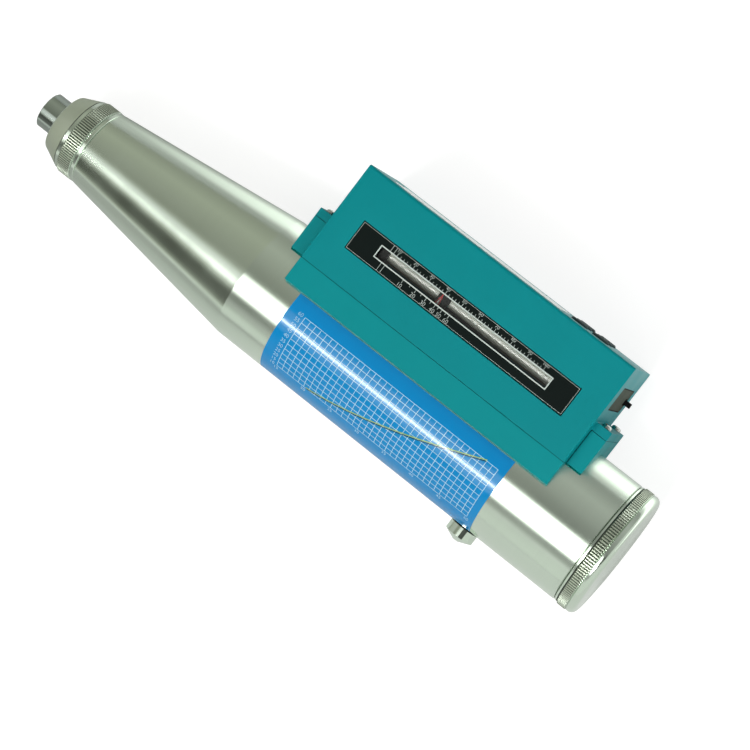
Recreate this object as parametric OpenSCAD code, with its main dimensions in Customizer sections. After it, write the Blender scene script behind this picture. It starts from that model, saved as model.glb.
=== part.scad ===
// Concrete rebound hammer with a recorder case clamped on its tube.
// It lies on the back of its case. X runs along the hammer towards the rear cap,
// Y towards the top of the case and Z up, to the side with the scale.
// The modules draw round the hammer's axis, with x = 0 at the nose, and stand() moves them into place.

/* [Plunger] */
// Diameter of the plunger
plunger_d = 14.8; // [13:0.1:16]
// Length of the plunger that stands out of the nose when it is locked in
plunger_stub = 9.8; // [4:0.1:12]
// Radius of the rounded striking end
tip_r = 25; // [20:1:40]
// Diameter of the guide rod that the hammer mass slides on
rod_d = 8; // [6:0.5:9]
// Length of the guide rod inside the plunger
rod_overlap = 25; // [15:1:35]
// Length of the buffer spring in the plunger
buffer_len = 12; // [8:1:18]

/* [Front cap] */
// Diameter of the cap at its nose
nose_d = 24.1; // [22:0.1:26]
// Length of the conical nose
nose_len = 7.5; // [5:0.5:9]
// Diameter behind the conical nose
nose_base_d = 30.6; // [28:0.1:31.5]
// Diameter over the knurled grip of the front cap
front_knurl_d = 32.2; // [31:0.1:34]
// Where the front knurl starts
front_knurl_x = 9.3; // [8.5:0.1:10]
// Length of the front knurl
front_knurl_len = 6.1; // [4:0.1:6.5]
// Overall length of the front cap
front_cap_len = 17.5; // [17:0.5:22]
// Thickness of the felt ring that keeps dust out
felt_len = 3.5; // [2:0.5:4.5]

/* [Housing] */
// Outside diameter of the tube
tube_d = 52.2; // [50:0.1:54]
// Wall of the tube and the cone
tube_wall = 2.6; // [2:0.1:3]
// Diameter of the cone at its front end
cone_front_d = 32.3; // [31:0.1:33]
// Length of the cone
cone_len = 80.9; // [75:0.1:86]
// Length of the straight tube
tube_len = 160.8; // [158:0.1:170]
// Diameter of the threaded neck that carries the front cap
neck_d = 26.8; // [25:0.1:27.5]

/* [Hammer mass] */
// Full rebound travel of the hammer mass
travel = 75; // [60:1:78]
// Diameter of the hammer mass
mass_d = 36; // [32:0.5:38]
// Length of the hammer mass
mass_len = 60; // [56:1:62]
// Diameter of the seat of the impact spring on the mass
mass_seat_d = 19.2; // [18.2:0.1:20]
// Length of that seat
mass_seat_len = 6; // [4:0.5:8]
// Diameter of the neck behind which the pawl hooks
mass_neck_d = 18; // [16:0.5:19]
// Length of that neck
mass_neck_len = 6; // [6:0.5:8]
// Diameter of the lip at the rear of the mass
mass_lip_d = 23; // [22:0.5:25]
// Length of that lip
mass_lip_len = 4; // [3:0.5:5]

/* [Carriage] */
// Thickness of the guide flange behind its front face
flange_disc_t = 5.7; // [4:0.1:6.5]
// Full length of the guide flange, with its rim
flange_len = 11.7; // [10:0.1:13]
// Height of the pawl's pivot over the axis
pawl_pivot_y = 13.6; // [13:0.1:14.5]
// Thickness of the pawl
pawl_t = 4; // [3:0.5:5]
// Diameter of the pawl's pin
pawl_pin_d = 2.5; // [2:0.1:2.8]
// Wire of the impact spring
impact_wire = 1.6; // [1:0.1:2]
// Turns of the impact spring
impact_turns = 16; // [10:1:22]
// Wire of the compression spring
press_wire = 2.2; // [1.8:0.1:2.4]
// Turns of the compression spring
press_turns = 7; // [5:1:8]

/* [Rear cap] */
// Diameter over the knurled grip of the rear cap
rear_knurl_d = 53.2; // [52.4:0.1:55]
// Length of the rear knurl
rear_knurl_len = 4; // [3:0.1:5]
// Length of the rear cap behind the tube
rear_cap_len = 9; // [8:0.1:12]
// Rounding of the rear cap's rim
rear_round = 2.5; // [1:0.1:2.6]
// Length of the thread that holds the rear cap in the tube
rear_thread_len = 6; // [4:0.5:8]
// Diameter of the trip screw
trip_d = 6; // [5:0.5:7]

/* [Push button] */
// Place of the push button along the hammer
button_x = 217; // [212:0.5:218]
// Diameter of the push button
button_d = 11.6; // [10:0.1:13]
// Height of the button's straight side over the tube
button_side = 3.8; // [2.8:0.1:4]
// Height of its conical end
button_cone = 2.1; // [1.5:0.1:3.5]
// Travel of the push button
button_travel = 1.5; // [1:0.1:1.6]
// Diameter of the lock pin under the button
lock_pin_d = 5; // [4:0.1:5.5]

/* [Case] */
// Distance from the nose to the front of the case
case_x = 112; // [110:0.5:114]
// Length of the case
case_len = 122; // [118:0.5:126]
// Depth of the case from its scale side to its back
case_depth = 54.7; // [54.4:0.1:58]
// Height of the case's top over the hammer's axis
case_top = 59.5; // [58:0.1:64]
// Height of the joint between the cover and the saddle
split_y = 17.4; // [15:0.1:19]
// Height of the saddle's lower edge
case_low = 7.3; // [7:0.1:9]
// Wall of the cover
case_wall = 2.2; // [1.8:0.1:2.6]
// Rounding of the cover's two long top edges
case_round = 1.3; // [0.5:0.1:3]
// Rounding of the case's upright edges
edge_round = 0.4; // [0.2:0.1:2]
// Length of the ears in front of and behind the case
ear_len = 6.75; // [6:0.05:9]
// Width of the ears
ear_w = 40.6; // [38:0.1:44]
// Height of the top of the ears
ear_top = 35.7; // [35:0.1:38]
// Thickness of the cover's ears
ear_t = 3.5; // [2.5:0.1:4]
// Distance between the two screws of an ear
ear_screw_gap = 31.5; // [26:0.5:32]
// Shank diameter of the ear screws
ear_screw_d = 2; // [1.6:0.1:2.5]
// Head diameter of the ear screws
ear_head_d = 3.9; // [3.4:0.1:5]
// Length of the ear screws' thread in the saddle
ear_thread = 6; // [4:0.5:8]

/* [Scale] */
// Length of the scale plate
plate_len = 100; // [96:0.5:104]
// Width of the scale plate
plate_w = 12.1; // [11:0.1:13]
// Height of the middle of the scale plate
plate_y = 35.9; // [35:0.1:36.5]
// Distance from the front of the case to the scale plate
plate_x = 11; // [9:0.5:12]
// Thickness of the scale plate
plate_t = 0.5; // [0.3:0.1:0.8]
// Length of the window in the scale plate
window_len = 78.5; // [77:0.5:82]
// Width of the window
window_w = 4.5; // [3.5:0.1:5.5]
// Distance from the front of the plate to the window
window_x = 10.9; // [9:0.1:11]
// Distance from the front of the plate to the zero of the scale
zero_x = 10; // [9.5:0.1:10.4]
// Reading that the pointer stands at
reading = 38.7; // [10:0.1:90]

/* [Chart label] */
// Length of the chart label
label_len = 100.2; // [80:0.1:101]
// Arc that the label takes round the tube, in degrees
label_arc = 89.4; // [60:0.1:89.5]
// Angle of the label's upper edge above the horizontal
label_top = 14.6; // [10:0.1:15]
// Distance from the front of the case to the label
label_x = 7.9; // [4:0.1:8]
// Thickness of the label
label_t = 0.15; // [0.1:0.05:0.3]

/* [Pointer] */
// Diameter of the pointer's rod
pointer_rod_d = 5; // [4:0.1:5.4]
// Height of the pointer's rod over the middle of the window
rod_up = 1.2; // [0:0.1:1.4]
// Lowest reading that the pointer goes back to
pointer_low = 8; // [6:0.5:10]
// Length of the pointer slider behind its rod
slider_len = 20; // [16:0.5:22]
// Length of the slider's collar round the rod, which shows in the window
collar_len = 5; // [4:0.1:6]
// Distance from the front of the slider to its index
index_in = 1.5; // [1.2:0.1:2]
// Height of the pointer slider
slider_h = 7; // [6:0.1:8]
// Depth of the pointer slider
slider_t = 7; // [6:0.1:7.4]
// Width of the leaf that reaches to the hammer mass
leaf_w = 4; // [3:0.5:5]
// Thickness of the leaf
leaf_t = 1; // [0.6:0.1:1.2]
// Angle of the leaf's slot above the horizontal
slot_angle = 61; // [58:1:64]
// Width of the slot
slot_w = 3; // [2.4:0.1:4]

/* [Top panel] */
// Length of the display glass
glass_len = 78; // [70:0.5:80]
// Width of the display glass
glass_w = 34; // [28:0.5:38]
// Thickness of the display glass
glass_t = 1.2; // [0.8:0.1:1.4]
// Distance from the front of the case to the glass
glass_x = 8; // [7:0.5:10]
// Length of the display opening under the glass
display_len = 66; // [55:0.5:68]
// Width of the display opening under the glass
display_w = 24; // [20:0.5:26]
// How far the display module reaches past its opening
display_rim = 3; // [2:0.5:3.5]
// Thickness of the display module
display_t = 3.7; // [3:0.1:4.5]
// Diameter of a key
key_d = 7.2; // [6:0.1:7.6]
// Height of a key over the case
key_out = 0.9; // [0.6:0.1:1.4]
// Travel of a key
key_travel = 0.6; // [0.3:0.1:0.8]
// How far the flange of a key reaches past it
key_rim = 0.9; // [0.6:0.1:1]
// How far the key mat reaches past the keys
mat_rim = 1.4; // [1.2:0.1:1.8]
// Distance from the glass to the nearer column of keys
key_x = 8; // [7:0.5:8.5]
// Distance between the two columns of keys
key_column = 9.5; // [9.3:0.1:10]
// Distance between the rows of keys
key_row = 12; // [10.5:0.5:14]

/* [End panel] */
// Width of the end panel
end_w = 36.4; // [32:0.1:38]
// Height of the end panel
end_h = 9.7; // [9:0.1:10.5]
// Height of the end panel's middle over the axis
end_y = 46.2; // [45.5:0.1:46.6]
// How far the end panel lies towards the back
end_back = 1; // [0:0.1:2]
// Thickness of the end panel
end_t = 1; // [0.8:0.1:1.3]
// Rounding of its corners
end_round = 1.3; // [0.5:0.1:2]
// Height of the switch lever
lever_h = 2; // [1.5:0.1:2.4]
// Width of the switch lever
lever_w = 1.8; // [1.4:0.1:2.4]
// Height of the lever over the case's end
lever_out = 2.4; // [1.5:0.1:3]
// Travel of the switch lever
lever_travel = 4; // [2:0.1:5]

/* [Inside the case] */
// Thickness of the circuit boards
board_t = 1.6; // [1:0.1:2]
// Gap between the main board and the walls
board_gap = 0.5; // [0.3:0.1:1]
// Diameter of the board screws
board_screw_d = 2; // [1.6:0.1:2.2]
// Head diameter of the board screws
board_head_d = 3.8; // [3.4:0.1:4]
// Diameter of the bosses that the board is screwed to
boss_d = 5.4; // [4.6:0.1:5.4]
// Distance from the cover's inner walls to the middle of a boss
boss_in = 3.6; // [3:0.1:3.8]
// Distance from the front of the case to its front bosses and saddle screw
boss_x = 7; // [6:0.5:8]
// Thread diameter of the saddle screws
saddle_screw_d = 2.4; // [2:0.1:2.6]
// Head diameter of the saddle screws
saddle_head_d = 4.4; // [4:0.1:5]
// Length of each bracket of the pointer's rod
bracket_t = 4; // [3:0.5:4.5]
// Height of those brackets
bracket_h = 10; // [9:0.5:11]
// Distance from the front of the case to the battery
battery_x = 22; // [18:1:30]
// Distance from the cover's back wall to the battery
battery_z = 2; // [1:0.5:3]
// Length of the battery
battery_len = 60; // [50:1:66]
// Width of the battery
battery_w = 32; // [26:0.5:33]
// Thickness of the battery
battery_t = 11; // [8:0.5:12]

/* [Clearances] */
// Radial clearance of a running fit
run_gap = 0.08; // [0.04:0.01:0.1]
// Clearance between parts that are screwed or pushed together
seat_gap = 0.05; // [0.02:0.01:0.08]
// Clearance between parts that pass each other
pass_gap = 0.4; // [0.3:0.05:0.5]
// Gap at a stop
stop_gap = 0.3; // [0.2:0.05:0.4]

/* [Hidden] */
$fn = 96;
eps = 0.01;

tube_r = tube_d / 2;
bore_r = tube_r - tube_wall;
cone_x = front_cap_len;
tube_x = cone_x + cone_len;
tube_end = tube_x + tube_len;
rear_end = tube_end + rear_cap_len;
cone_bore_r = cone_front_d / 2 - tube_wall;

// Chain of the hammer: the button's pin locks the flange, and the mass is cocked against the flange.
flange_x = button_x + lock_pin_d / 2 + 2 * pass_gap;
flange_rear = flange_x + flange_len;
mass_rear = flange_x - stop_gap - travel;
mass_x = mass_rear - mass_len;
mass_body_x = mass_x + mass_seat_len;
mass_shoulder = mass_rear - mass_lip_len - mass_neck_len;
plunger_rear = mass_x - stop_gap;
rod_x = plunger_rear - rod_overlap;
buffer_x = rod_x - buffer_len;

// Pawl, in the pose that holds the cocked mass
hook_x = flange_x - stop_gap - mass_lip_len - mass_neck_len + 2 * pass_gap;
hook_rear = flange_x - stop_gap - mass_lip_len - pass_gap;
hook_y = mass_neck_d / 2 + pass_gap;
pawl_low = mass_lip_d / 2 + pass_gap;
pawl_high = pawl_low + 3.5;
pivot_x = flange_x + flange_disc_t + 3;
arm_x = flange_rear + 1.3;
arm_t = 3;
arm_low = 1;
arm_high = pawl_low + 2.4;
rim_r = arm_high + 1;
press_r = mass_d / 2 - 0.1 - press_wire / 2;
trip_x = arm_x + arm_t + stop_gap;

// Front end
neck_x = front_cap_len - 11.1;
neck_bore_r = neck_d / 2 - 1.9;
ring_len = 8;
sleeve_x = neck_x + ring_len + 0.2;
sleeve_len = 13;
sleeve_rim = 5;
spring_r = mass_seat_d / 2 + impact_wire / 2 + 0.5;

// Case
case_rear = case_x + case_len;
case_half = case_depth / 2;
case_in = case_half - case_wall;
roof_y = case_top - case_wall;
ear_split = ear_top - ear_t;
ear_x = [case_x - ear_len / 2, case_rear + ear_len / 2];
arch_r = tube_r + 2;
plate_x0 = case_x + plate_x;
window_x0 = plate_x0 + window_x;
mark_0 = plate_x0 + zero_x;
window_y = plate_y + 0.3;
lens_t = 1;
lens_z = case_in - lens_t;
shift = travel * reading / 100;
slider_x = mark_0 + shift - index_in;
slider_z = lens_z - stop_gap - 0.2 - slider_t;
rod_y = window_y + rod_up;
slider_y = rod_y - slider_h / 2;
rod_z = slider_z + slider_t / 2;
leaf_x = mass_shoulder + stop_gap + shift;
rod_front = mark_0 + travel * pointer_low / 100 - index_in - stop_gap - bracket_t;
rod_back = mark_0 + travel - index_in + slider_len + 2 * stop_gap + bracket_t;
sensor_z = slider_z - stop_gap - board_t;
bracket_z = slider_z - stop_gap;
board_y = roof_y - display_t - board_t;
key_flange_t = 1;
key_flange_y = roof_y - stop_gap - key_flange_t;
mat_t = key_flange_y - key_travel - 0.1 - board_y - board_t;
glass_end = case_x + glass_x + glass_len;
key_xs = [glass_end + key_x, glass_end + key_x + key_column];
mat_end = key_xs[1] + key_d / 2 + mat_rim;
key_zs = [-key_row, 0, key_row];
saddle_screw_xs = [case_x + boss_x, case_rear - boss_x];
boss_zs = [-case_in + boss_in, case_in - boss_in];
lever_z0 = end_back * -1 - end_w / 2 + 0.8;
lever_y0 = end_y - lever_h / 2 - 0.4;
bush_floor = bore_r + 0.2;
bush_floor_t = 0.7;
bush_wall = 0.8;
cup_low = bush_floor + bush_floor_t + button_travel + 0.1;
cup_top = tube_r + button_side;
cup_inner = cup_top - 0.2;
cup_r = button_d / 2 - 0.9;
switch_t = 5;
switch_x = case_rear - case_wall - stop_gap - switch_t;
boss_xs = [case_x + boss_x, (mat_end + switch_x) / 2];

// Moves a piece from the hammer's axis to the place where the whole object rests
origin = [(-plunger_stub + rear_end) / 2, (case_top + key_out - tube_r - button_side - button_cone) / 2, -case_half];
module stand() {
    translate(-origin) children();
}

// Cylinder along X from x0 with length l
module bar(x0, l, r) {
    translate([x0, 0, 0]) rotate([0, 90, 0]) cylinder(r = r, h = l);
}

// Ring along X
module tube_along(x0, l, r_out, r_in) {
    difference() {
        bar(x0, l, r_out);
        bar(x0 - 1, l + 2, r_in);
    }
}

// Turned piece: points are [place along X, radius]
module turned(points) {
    rotate([0, 90, 0]) rotate_extrude() polygon([for (p = points) [p[1], p[0]]]);
}

// Box from its low corner to its high corner
module block(low, high) {
    translate(low) cube(high - low);
}

// Outline of a box with two round top corners, exact arcs
module round_top(w, h, r) {
    translate([0, 0]) square([w, h - r]);
    translate([r, h - r - eps]) square([w - 2 * r, r + eps]);
    for (x = [r, w - r]) translate([x, h - r]) circle(r = r, $fn = 48);
}

// Outline of a rectangle with four round corners
module round_outline(l, w, r) {
    translate([r, 0]) square([l - 2 * r, w]);
    translate([0, r]) square([l, w - 2 * r]);
    for (x = [r, l - r], y = [r, w - r]) translate([x, y]) circle(r = r, $fn = 48);
}

// Plate with four round corners lying in XZ, from y0 upwards
module round_plate(x0, y0, zc, l, w, t, r) {
    translate([x0, y0 + t, zc - w / 2]) rotate([90, 0, 0]) linear_extrude(t) round_outline(l, w, r);
}

// Upright plate with four round corners in YZ, from x0 backwards
module round_panel(x0, yc, zc, h, w, t, r) {
    translate([x0, yc - h / 2, zc - w / 2]) rotate([90, 0, 90]) linear_extrude(t) round_outline(h, w, r);
}

// Points of a ring of a helix: the wire has 6 sides
function ring(i, r, pitch, wire, per) = [
    for (k = [0:5]) let (a = 360 * i / per, b = 60 * k, q = r + wire / 2 * cos(b))
        [pitch * i / per + wire / 2 * sin(b), q * cos(a), q * sin(a)]
];

// Open coil along X from x0, with its wire inside the length l
module coil(x0, l, r, wire, turns) {
    per = 12;
    n = turns * per;
    pitch = (l - wire) / turns;
    points = [for (i = [0:n]) each ring(i, r, pitch, wire, per)];
    sides = [
        for (i = [0:n - 1], k = [0:5]) let (a = 6 * i + k, b = 6 * i + (k + 1) % 6)
            each [[a, b, b + 6], [a, b + 6, a + 6]]
    ];
    ends = [
        for (k = [1:4]) [0, k + 1, k],
        for (k = [1:4]) [6 * n, 6 * n + k, 6 * n + k + 1]
    ];
    translate([x0 + wire / 2, 0, 0]) polyhedron(points, concat(sides, ends));
}

// Screw along -Y with a pan head: y is the underside of the head
module pan_screw(x, y, z, d, head_d, head_h, shank) {
    translate([x, y, z]) rotate([-90, 0, 0]) {
        cylinder(d1 = head_d, d2 = head_d * 0.72, h = head_h);
        translate([0, 0, -shank]) cylinder(d = d, h = shank + eps);
    }
}

module plunger() {
    half = plunger_d / 2;
    dome = tip_r - sqrt(tip_r * tip_r - half * half);
    color("gainsboro") stand() difference() {
        union() {
            bar(-plunger_stub + dome, plunger_rear + plunger_stub - dome, half);
            intersection() {
                bar(-plunger_stub, dome + 1, half);
                translate([-plunger_stub + tip_r, 0, 0]) sphere(r = tip_r);
            }
        }
        bar(buffer_x, plunger_rear - buffer_x + 1, rod_d / 2 + seat_gap);
    }
}

module buffer_spring() {
    wire = 1;
    color("slategray") stand()
        coil(buffer_x + stop_gap, buffer_len - 2 * stop_gap, rod_d / 2 - wire / 2 - 0.2, wire, 5);
}

module guide_rod() {
    color("silver") stand() bar(rod_x, flange_x + flange_disc_t + 3.4 - rod_x, rod_d / 2);
}

module rod_nut() {
    color("dimgray") stand() difference() {
        translate([flange_x + flange_disc_t, 0, 0]) rotate([0, 90, 0]) cylinder(d = rod_d + 3.4, h = 3);
        bar(flange_x, flange_len, rod_d / 2 + seat_gap);
    }
}

module guide_flange() {
    lug_z = pawl_t / 2 + 0.15;
    slot_top = pawl_high + 2.8;
    notch = leaf_t / 2 + pass_gap;
    color("silver") stand() difference() {
        union() {
            bar(flange_x, flange_disc_t, bore_r - run_gap);
            tube_along(flange_x + flange_disc_t - eps, flange_len - flange_disc_t + eps, bore_r - run_gap, rim_r);
            for (s = [-1, 1]) block(
                [flange_x + flange_disc_t - eps, pawl_low - 1.6, s > 0 ? lug_z : -lug_z - 2.6],
                [flange_rear, pawl_pivot_y + 2.7, s > 0 ? lug_z + 2.6 : -lug_z]);
        }
        bar(flange_x - 1, flange_len + 2, rod_d / 2 + seat_gap);
        block([flange_x - 1, pawl_low - 0.6, -lug_z], [flange_rear + 1, slot_top, lug_z]);
        rotate([90 - slot_angle, 0, 0])
            block([flange_x - 1, mass_d / 2 + 0.1, -notch], [flange_rear + 1, tube_r, notch]);
        translate([pivot_x, pawl_pivot_y, -20]) cylinder(d = pawl_pin_d + 2 * seat_gap, h = 40);
    }
}

module pawl() {
    outline = [
        [hook_x, pawl_high], [hook_x, hook_y], [hook_rear, hook_y], [hook_rear, pawl_low],
        [arm_x, pawl_low], [arm_x, arm_low], [arm_x + arm_t, arm_low], [arm_x + arm_t, arm_high],
        [flange_rear, arm_high], [flange_rear - 1.5, pawl_high]
    ];
    color("dimgray") stand() difference() {
        translate([0, 0, -pawl_t / 2]) linear_extrude(pawl_t) polygon(outline);
        translate([pivot_x, pawl_pivot_y, -10]) cylinder(d = pawl_pin_d + 2 * run_gap, h = 20);
    }
}

module pawl_pin() {
    half = pawl_t / 2 + 0.15 + 2.6;
    color("silver") stand() translate([pivot_x, pawl_pivot_y, -half]) cylinder(d = pawl_pin_d, h = 2 * half);
}

module pawl_spring() {
    x0 = flange_x + flange_disc_t;
    color("slategray") stand() translate([0, rod_d / 2 + 3.6, 0])
        coil(x0 + 0.05, arm_x - x0 - 0.1, 1.15, 0.5, 5);
}

module hammer_mass() {
    color("lightsteelblue") stand() difference() {
        turned([
            [mass_x, 0], [mass_x, mass_seat_d / 2], [mass_body_x, mass_seat_d / 2],
            [mass_body_x, mass_d / 2 - 1], [mass_body_x + 1, mass_d / 2], [mass_shoulder - 1, mass_d / 2],
            [mass_shoulder, mass_d / 2 - 1], [mass_shoulder, mass_neck_d / 2],
            [mass_shoulder + mass_neck_len, mass_neck_d / 2], [mass_shoulder + mass_neck_len, mass_lip_d / 2],
            [mass_rear, mass_lip_d / 2], [mass_rear, 0]
        ]);
        bar(mass_x - 1, mass_len + 2, rod_d / 2 + run_gap);
    }
}

module impact_spring() {
    x0 = sleeve_x + sleeve_rim + 0.2;
    color("slategray") stand() coil(x0, mass_body_x - stop_gap - x0, spring_r, impact_wire, impact_turns);
}

module spring_sleeve() {
    hole = plunger_d / 2 + 2 * pass_gap;
    color("darkgray") stand() difference() {
        union() {
            bar(sleeve_x, sleeve_rim, neck_bore_r - seat_gap);
            bar(sleeve_x, sleeve_len, mass_seat_d / 2);
        }
        bar(sleeve_x - 1, sleeve_len + 2, hole);
    }
}

module compression_spring() {
    color("slategray") stand()
        coil(flange_rear + 0.1, tube_end - flange_rear - 0.3, press_r, press_wire, press_turns);
}

module front_cap() {
    chamber = neck_x - 0.2;
    color("lightgray") stand() difference() {
        turned([
            [0, 0], [0, nose_d / 2], [nose_len, nose_base_d / 2], [nose_len, nose_base_d / 2 + 0.2],
            [front_knurl_x, nose_base_d / 2 + 0.2], [front_knurl_x, front_knurl_d / 2],
            [front_knurl_x + front_knurl_len, front_knurl_d / 2],
            [front_knurl_x + front_knurl_len, front_knurl_d / 2 - 0.5],
            [front_knurl_x + front_knurl_len + 0.5, front_knurl_d / 2 - 0.1],
            [front_cap_len - 0.1, front_knurl_d / 2 - 0.1], [front_cap_len - 0.1, 0]
        ]);
        bar(-1, 30, plunger_d / 2 + 2 * pass_gap);
        bar(chamber - felt_len, felt_len + 1, neck_bore_r + 0.4);
        bar(chamber, front_cap_len, neck_d / 2 + seat_gap);
    }
}

module felt_ring() {
    color("tan") stand()
        tube_along(neck_x - 0.2 - felt_len + 0.1, felt_len - 0.1, neck_bore_r + 0.3, plunger_d / 2 + 0.1);
}

module two_part_ring() {
    color("goldenrod") stand() difference() {
        tube_along(neck_x, ring_len, neck_bore_r - seat_gap, plunger_d / 2 + run_gap);
        block([neck_x - 1, -20, -0.2], [neck_x + ring_len + 1, 20, 0.2]);
    }
}

// Slot for the pointer's leaf, cut along the hammer
module leaf_slot(grow) {
    x0 = mass_shoulder - 1 - grow;
    x1 = mass_shoulder + stop_gap + travel + leaf_w + 1 + grow;
    rotate([90 - slot_angle, 0, 0]) block([x0, 0, -slot_w / 2 - grow], [x1, 60, slot_w / 2 + grow]);
}

module housing() {
    color("silver") stand() difference() {
        turned([
            [neck_x, neck_bore_r], [neck_x, neck_d / 2], [cone_x, neck_d / 2], [cone_x, cone_front_d / 2 - 0.4],
            [cone_x + 0.4, cone_front_d / 2], [tube_x, tube_r], [tube_end - 0.4, tube_r],
            [tube_end, tube_r - 0.4], [tube_end, bore_r], [tube_x, bore_r],
            [sleeve_x + sleeve_rim, cone_bore_r - 0.6], [sleeve_x + sleeve_rim, neck_bore_r]
        ]);
        leaf_slot(0);
        at_button() cylinder(r = button_d / 2 + bush_wall, h = tube_d);
        for (x = saddle_screw_xs) translate([x, tube_r - 10, 0]) rotate([-90, 0, 0])
            cylinder(d = saddle_screw_d + 2 * seat_gap, h = 20);
    }
}

module chart_label() {
    color("royalblue") stand() translate([case_x + label_x, 0, 0]) rotate([-label_top, 0, 0]) rotate([0, 90, 0])
        rotate([0, 0, 180]) rotate_extrude(angle = label_arc)
            translate([tube_r + seat_gap, 0]) square([label_t, label_len]);
}

module rear_cap() {
    k = rear_knurl_d / 2;
    x1 = tube_end + 1.7;
    x2 = x1 + rear_knurl_len;
    steps = 8;
    rim = k - 0.2;
    color("lightgray") stand() difference() {
        turned(concat(
            [[tube_end - rear_thread_len, 0], [tube_end - rear_thread_len, bore_r - seat_gap],
             [tube_end + 0.1, bore_r - seat_gap], [tube_end + 0.1, tube_r - 0.5], [tube_end + 0.9, tube_r - 0.5],
             [x1 - 0.3, k - 0.6], [x1, k], [x2, k], [x2 + 0.2, k - 0.9], [x2 + 0.7, k - 0.9]],
            [for (i = [0:steps]) let (a = 90 * i / steps)
                [rear_end - rear_round + rear_round * sin(a), rim - rear_round + rear_round * cos(a)]],
            [[rear_end, 0]]
        ));
        bar(tube_end - rear_thread_len - 1, rear_thread_len + 1, bore_r - 2.4);
        bar(tube_end - 1, rear_cap_len - 3, trip_d / 2 + seat_gap);
    }
}

module trip_screw() {
    end = tube_end + rear_cap_len - 4.5;
    color("dimgray") stand() difference() {
        bar(trip_x, end - trip_x, trip_d / 2);
        block([trip_x - 1, -0.5, -5], [trip_x + 1.2, 0.5, 5]);
    }
}

module lock_nut() {
    color("dimgray") stand() difference() {
        translate([tube_end - 3.2, 0, 0]) rotate([0, 90, 0]) cylinder(d = trip_d + 5.5, h = 3.2, $fn = 6);
        bar(tube_end - 5, 8, trip_d / 2 + seat_gap);
    }
}

// Places a turned piece of the push button: z runs outwards from the hammer's axis
module at_button() {
    translate([button_x, 0, 0]) rotate([90, 0, 0]) children();
}

module push_button() {
    color("gainsboro") stand() at_button() difference() {
        union() {
            translate([0, 0, cup_low]) cylinder(d = button_d, h = cup_top - cup_low);
            translate([0, 0, cup_top - eps]) cylinder(d1 = button_d, d2 = 2.6, h = button_cone + eps);
        }
        translate([0, 0, bush_floor]) cylinder(r = cup_r, h = cup_inner - bush_floor);
    }
}

module lock_pin() {
    color("silver") stand() at_button() translate([0, 0, bush_floor])
        cylinder(d = lock_pin_d, h = cup_inner - bush_floor);
}

module button_spring() {
    low = bush_floor + bush_floor_t;
    wire = 0.45;
    color("slategray") stand() translate([button_x, 0, 0]) rotate([0, 0, -90])
        coil(low + 0.05, cup_inner - low - 0.1, (lock_pin_d / 2 + cup_r) / 2, wire, 3);
}

module button_bush() {
    color("darkgray") stand() intersection() {
        at_button() difference() {
            translate([0, 0, bush_floor]) cylinder(r = button_d / 2 + bush_wall - seat_gap, h = tube_r);
            translate([0, 0, bush_floor + bush_floor_t]) cylinder(r = button_d / 2 + run_gap, h = tube_r);
            translate([0, 0, bush_floor - 1]) cylinder(r = lock_pin_d / 2 + run_gap, h = 5);
        }
        bar(button_x - 20, 40, tube_r);
    }
}

module case_saddle() {
    color("darkcyan") stand() difference() {
        union() {
            case_column(case_low, split_y);
            intersection() {
                bar(case_x + case_wall, case_len - 2 * case_wall, arch_r);
                block([case_x, split_y - eps, -case_half], [case_rear, case_top, case_half]);
            }
            for (x0 = [case_x - ear_len, case_rear - case_wall])
                block([x0, split_y - eps, -ear_w / 2], [x0 + ear_len + case_wall, ear_split, ear_w / 2]);
        }
        bar(case_x - 20, case_len + 40, tube_r + seat_gap);
        leaf_slot(0.5);
        for (x = saddle_screw_xs) translate([x, 0, 0]) rotate([-90, 0, 0])
            cylinder(d = saddle_screw_d + 4 * seat_gap, h = case_top);
        for (x = ear_x, z = [-1, 1] * ear_screw_gap / 2)
            translate([x, ear_split - ear_thread - stop_gap, z]) rotate([-90, 0, 0])
                cylinder(d = ear_screw_d + 2 * seat_gap, h = ear_top);
    }
}

module saddle_screws() {
    color("silver") stand() for (x = saddle_screw_xs)
        pan_screw(x, arch_r, 0, saddle_screw_d, saddle_head_d, 1.4, arch_r - bore_r - stop_gap);
}

// Column with the outline of the case and its four upright edges rounded
module case_column(y0, y1) {
    round_plate(case_x, y0, 0, case_len, case_depth, y1 - y0, edge_round);
}

// Cover without its inside
module cover_shell() {
    h = case_top - split_y;
    intersection() {
        translate([case_x, split_y, -case_half]) rotate([90, 0, 90]) linear_extrude(case_len)
            mirror([1, -1]) round_top(case_depth, h, case_round);
        case_column(split_y, case_top);
    }
}

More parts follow.
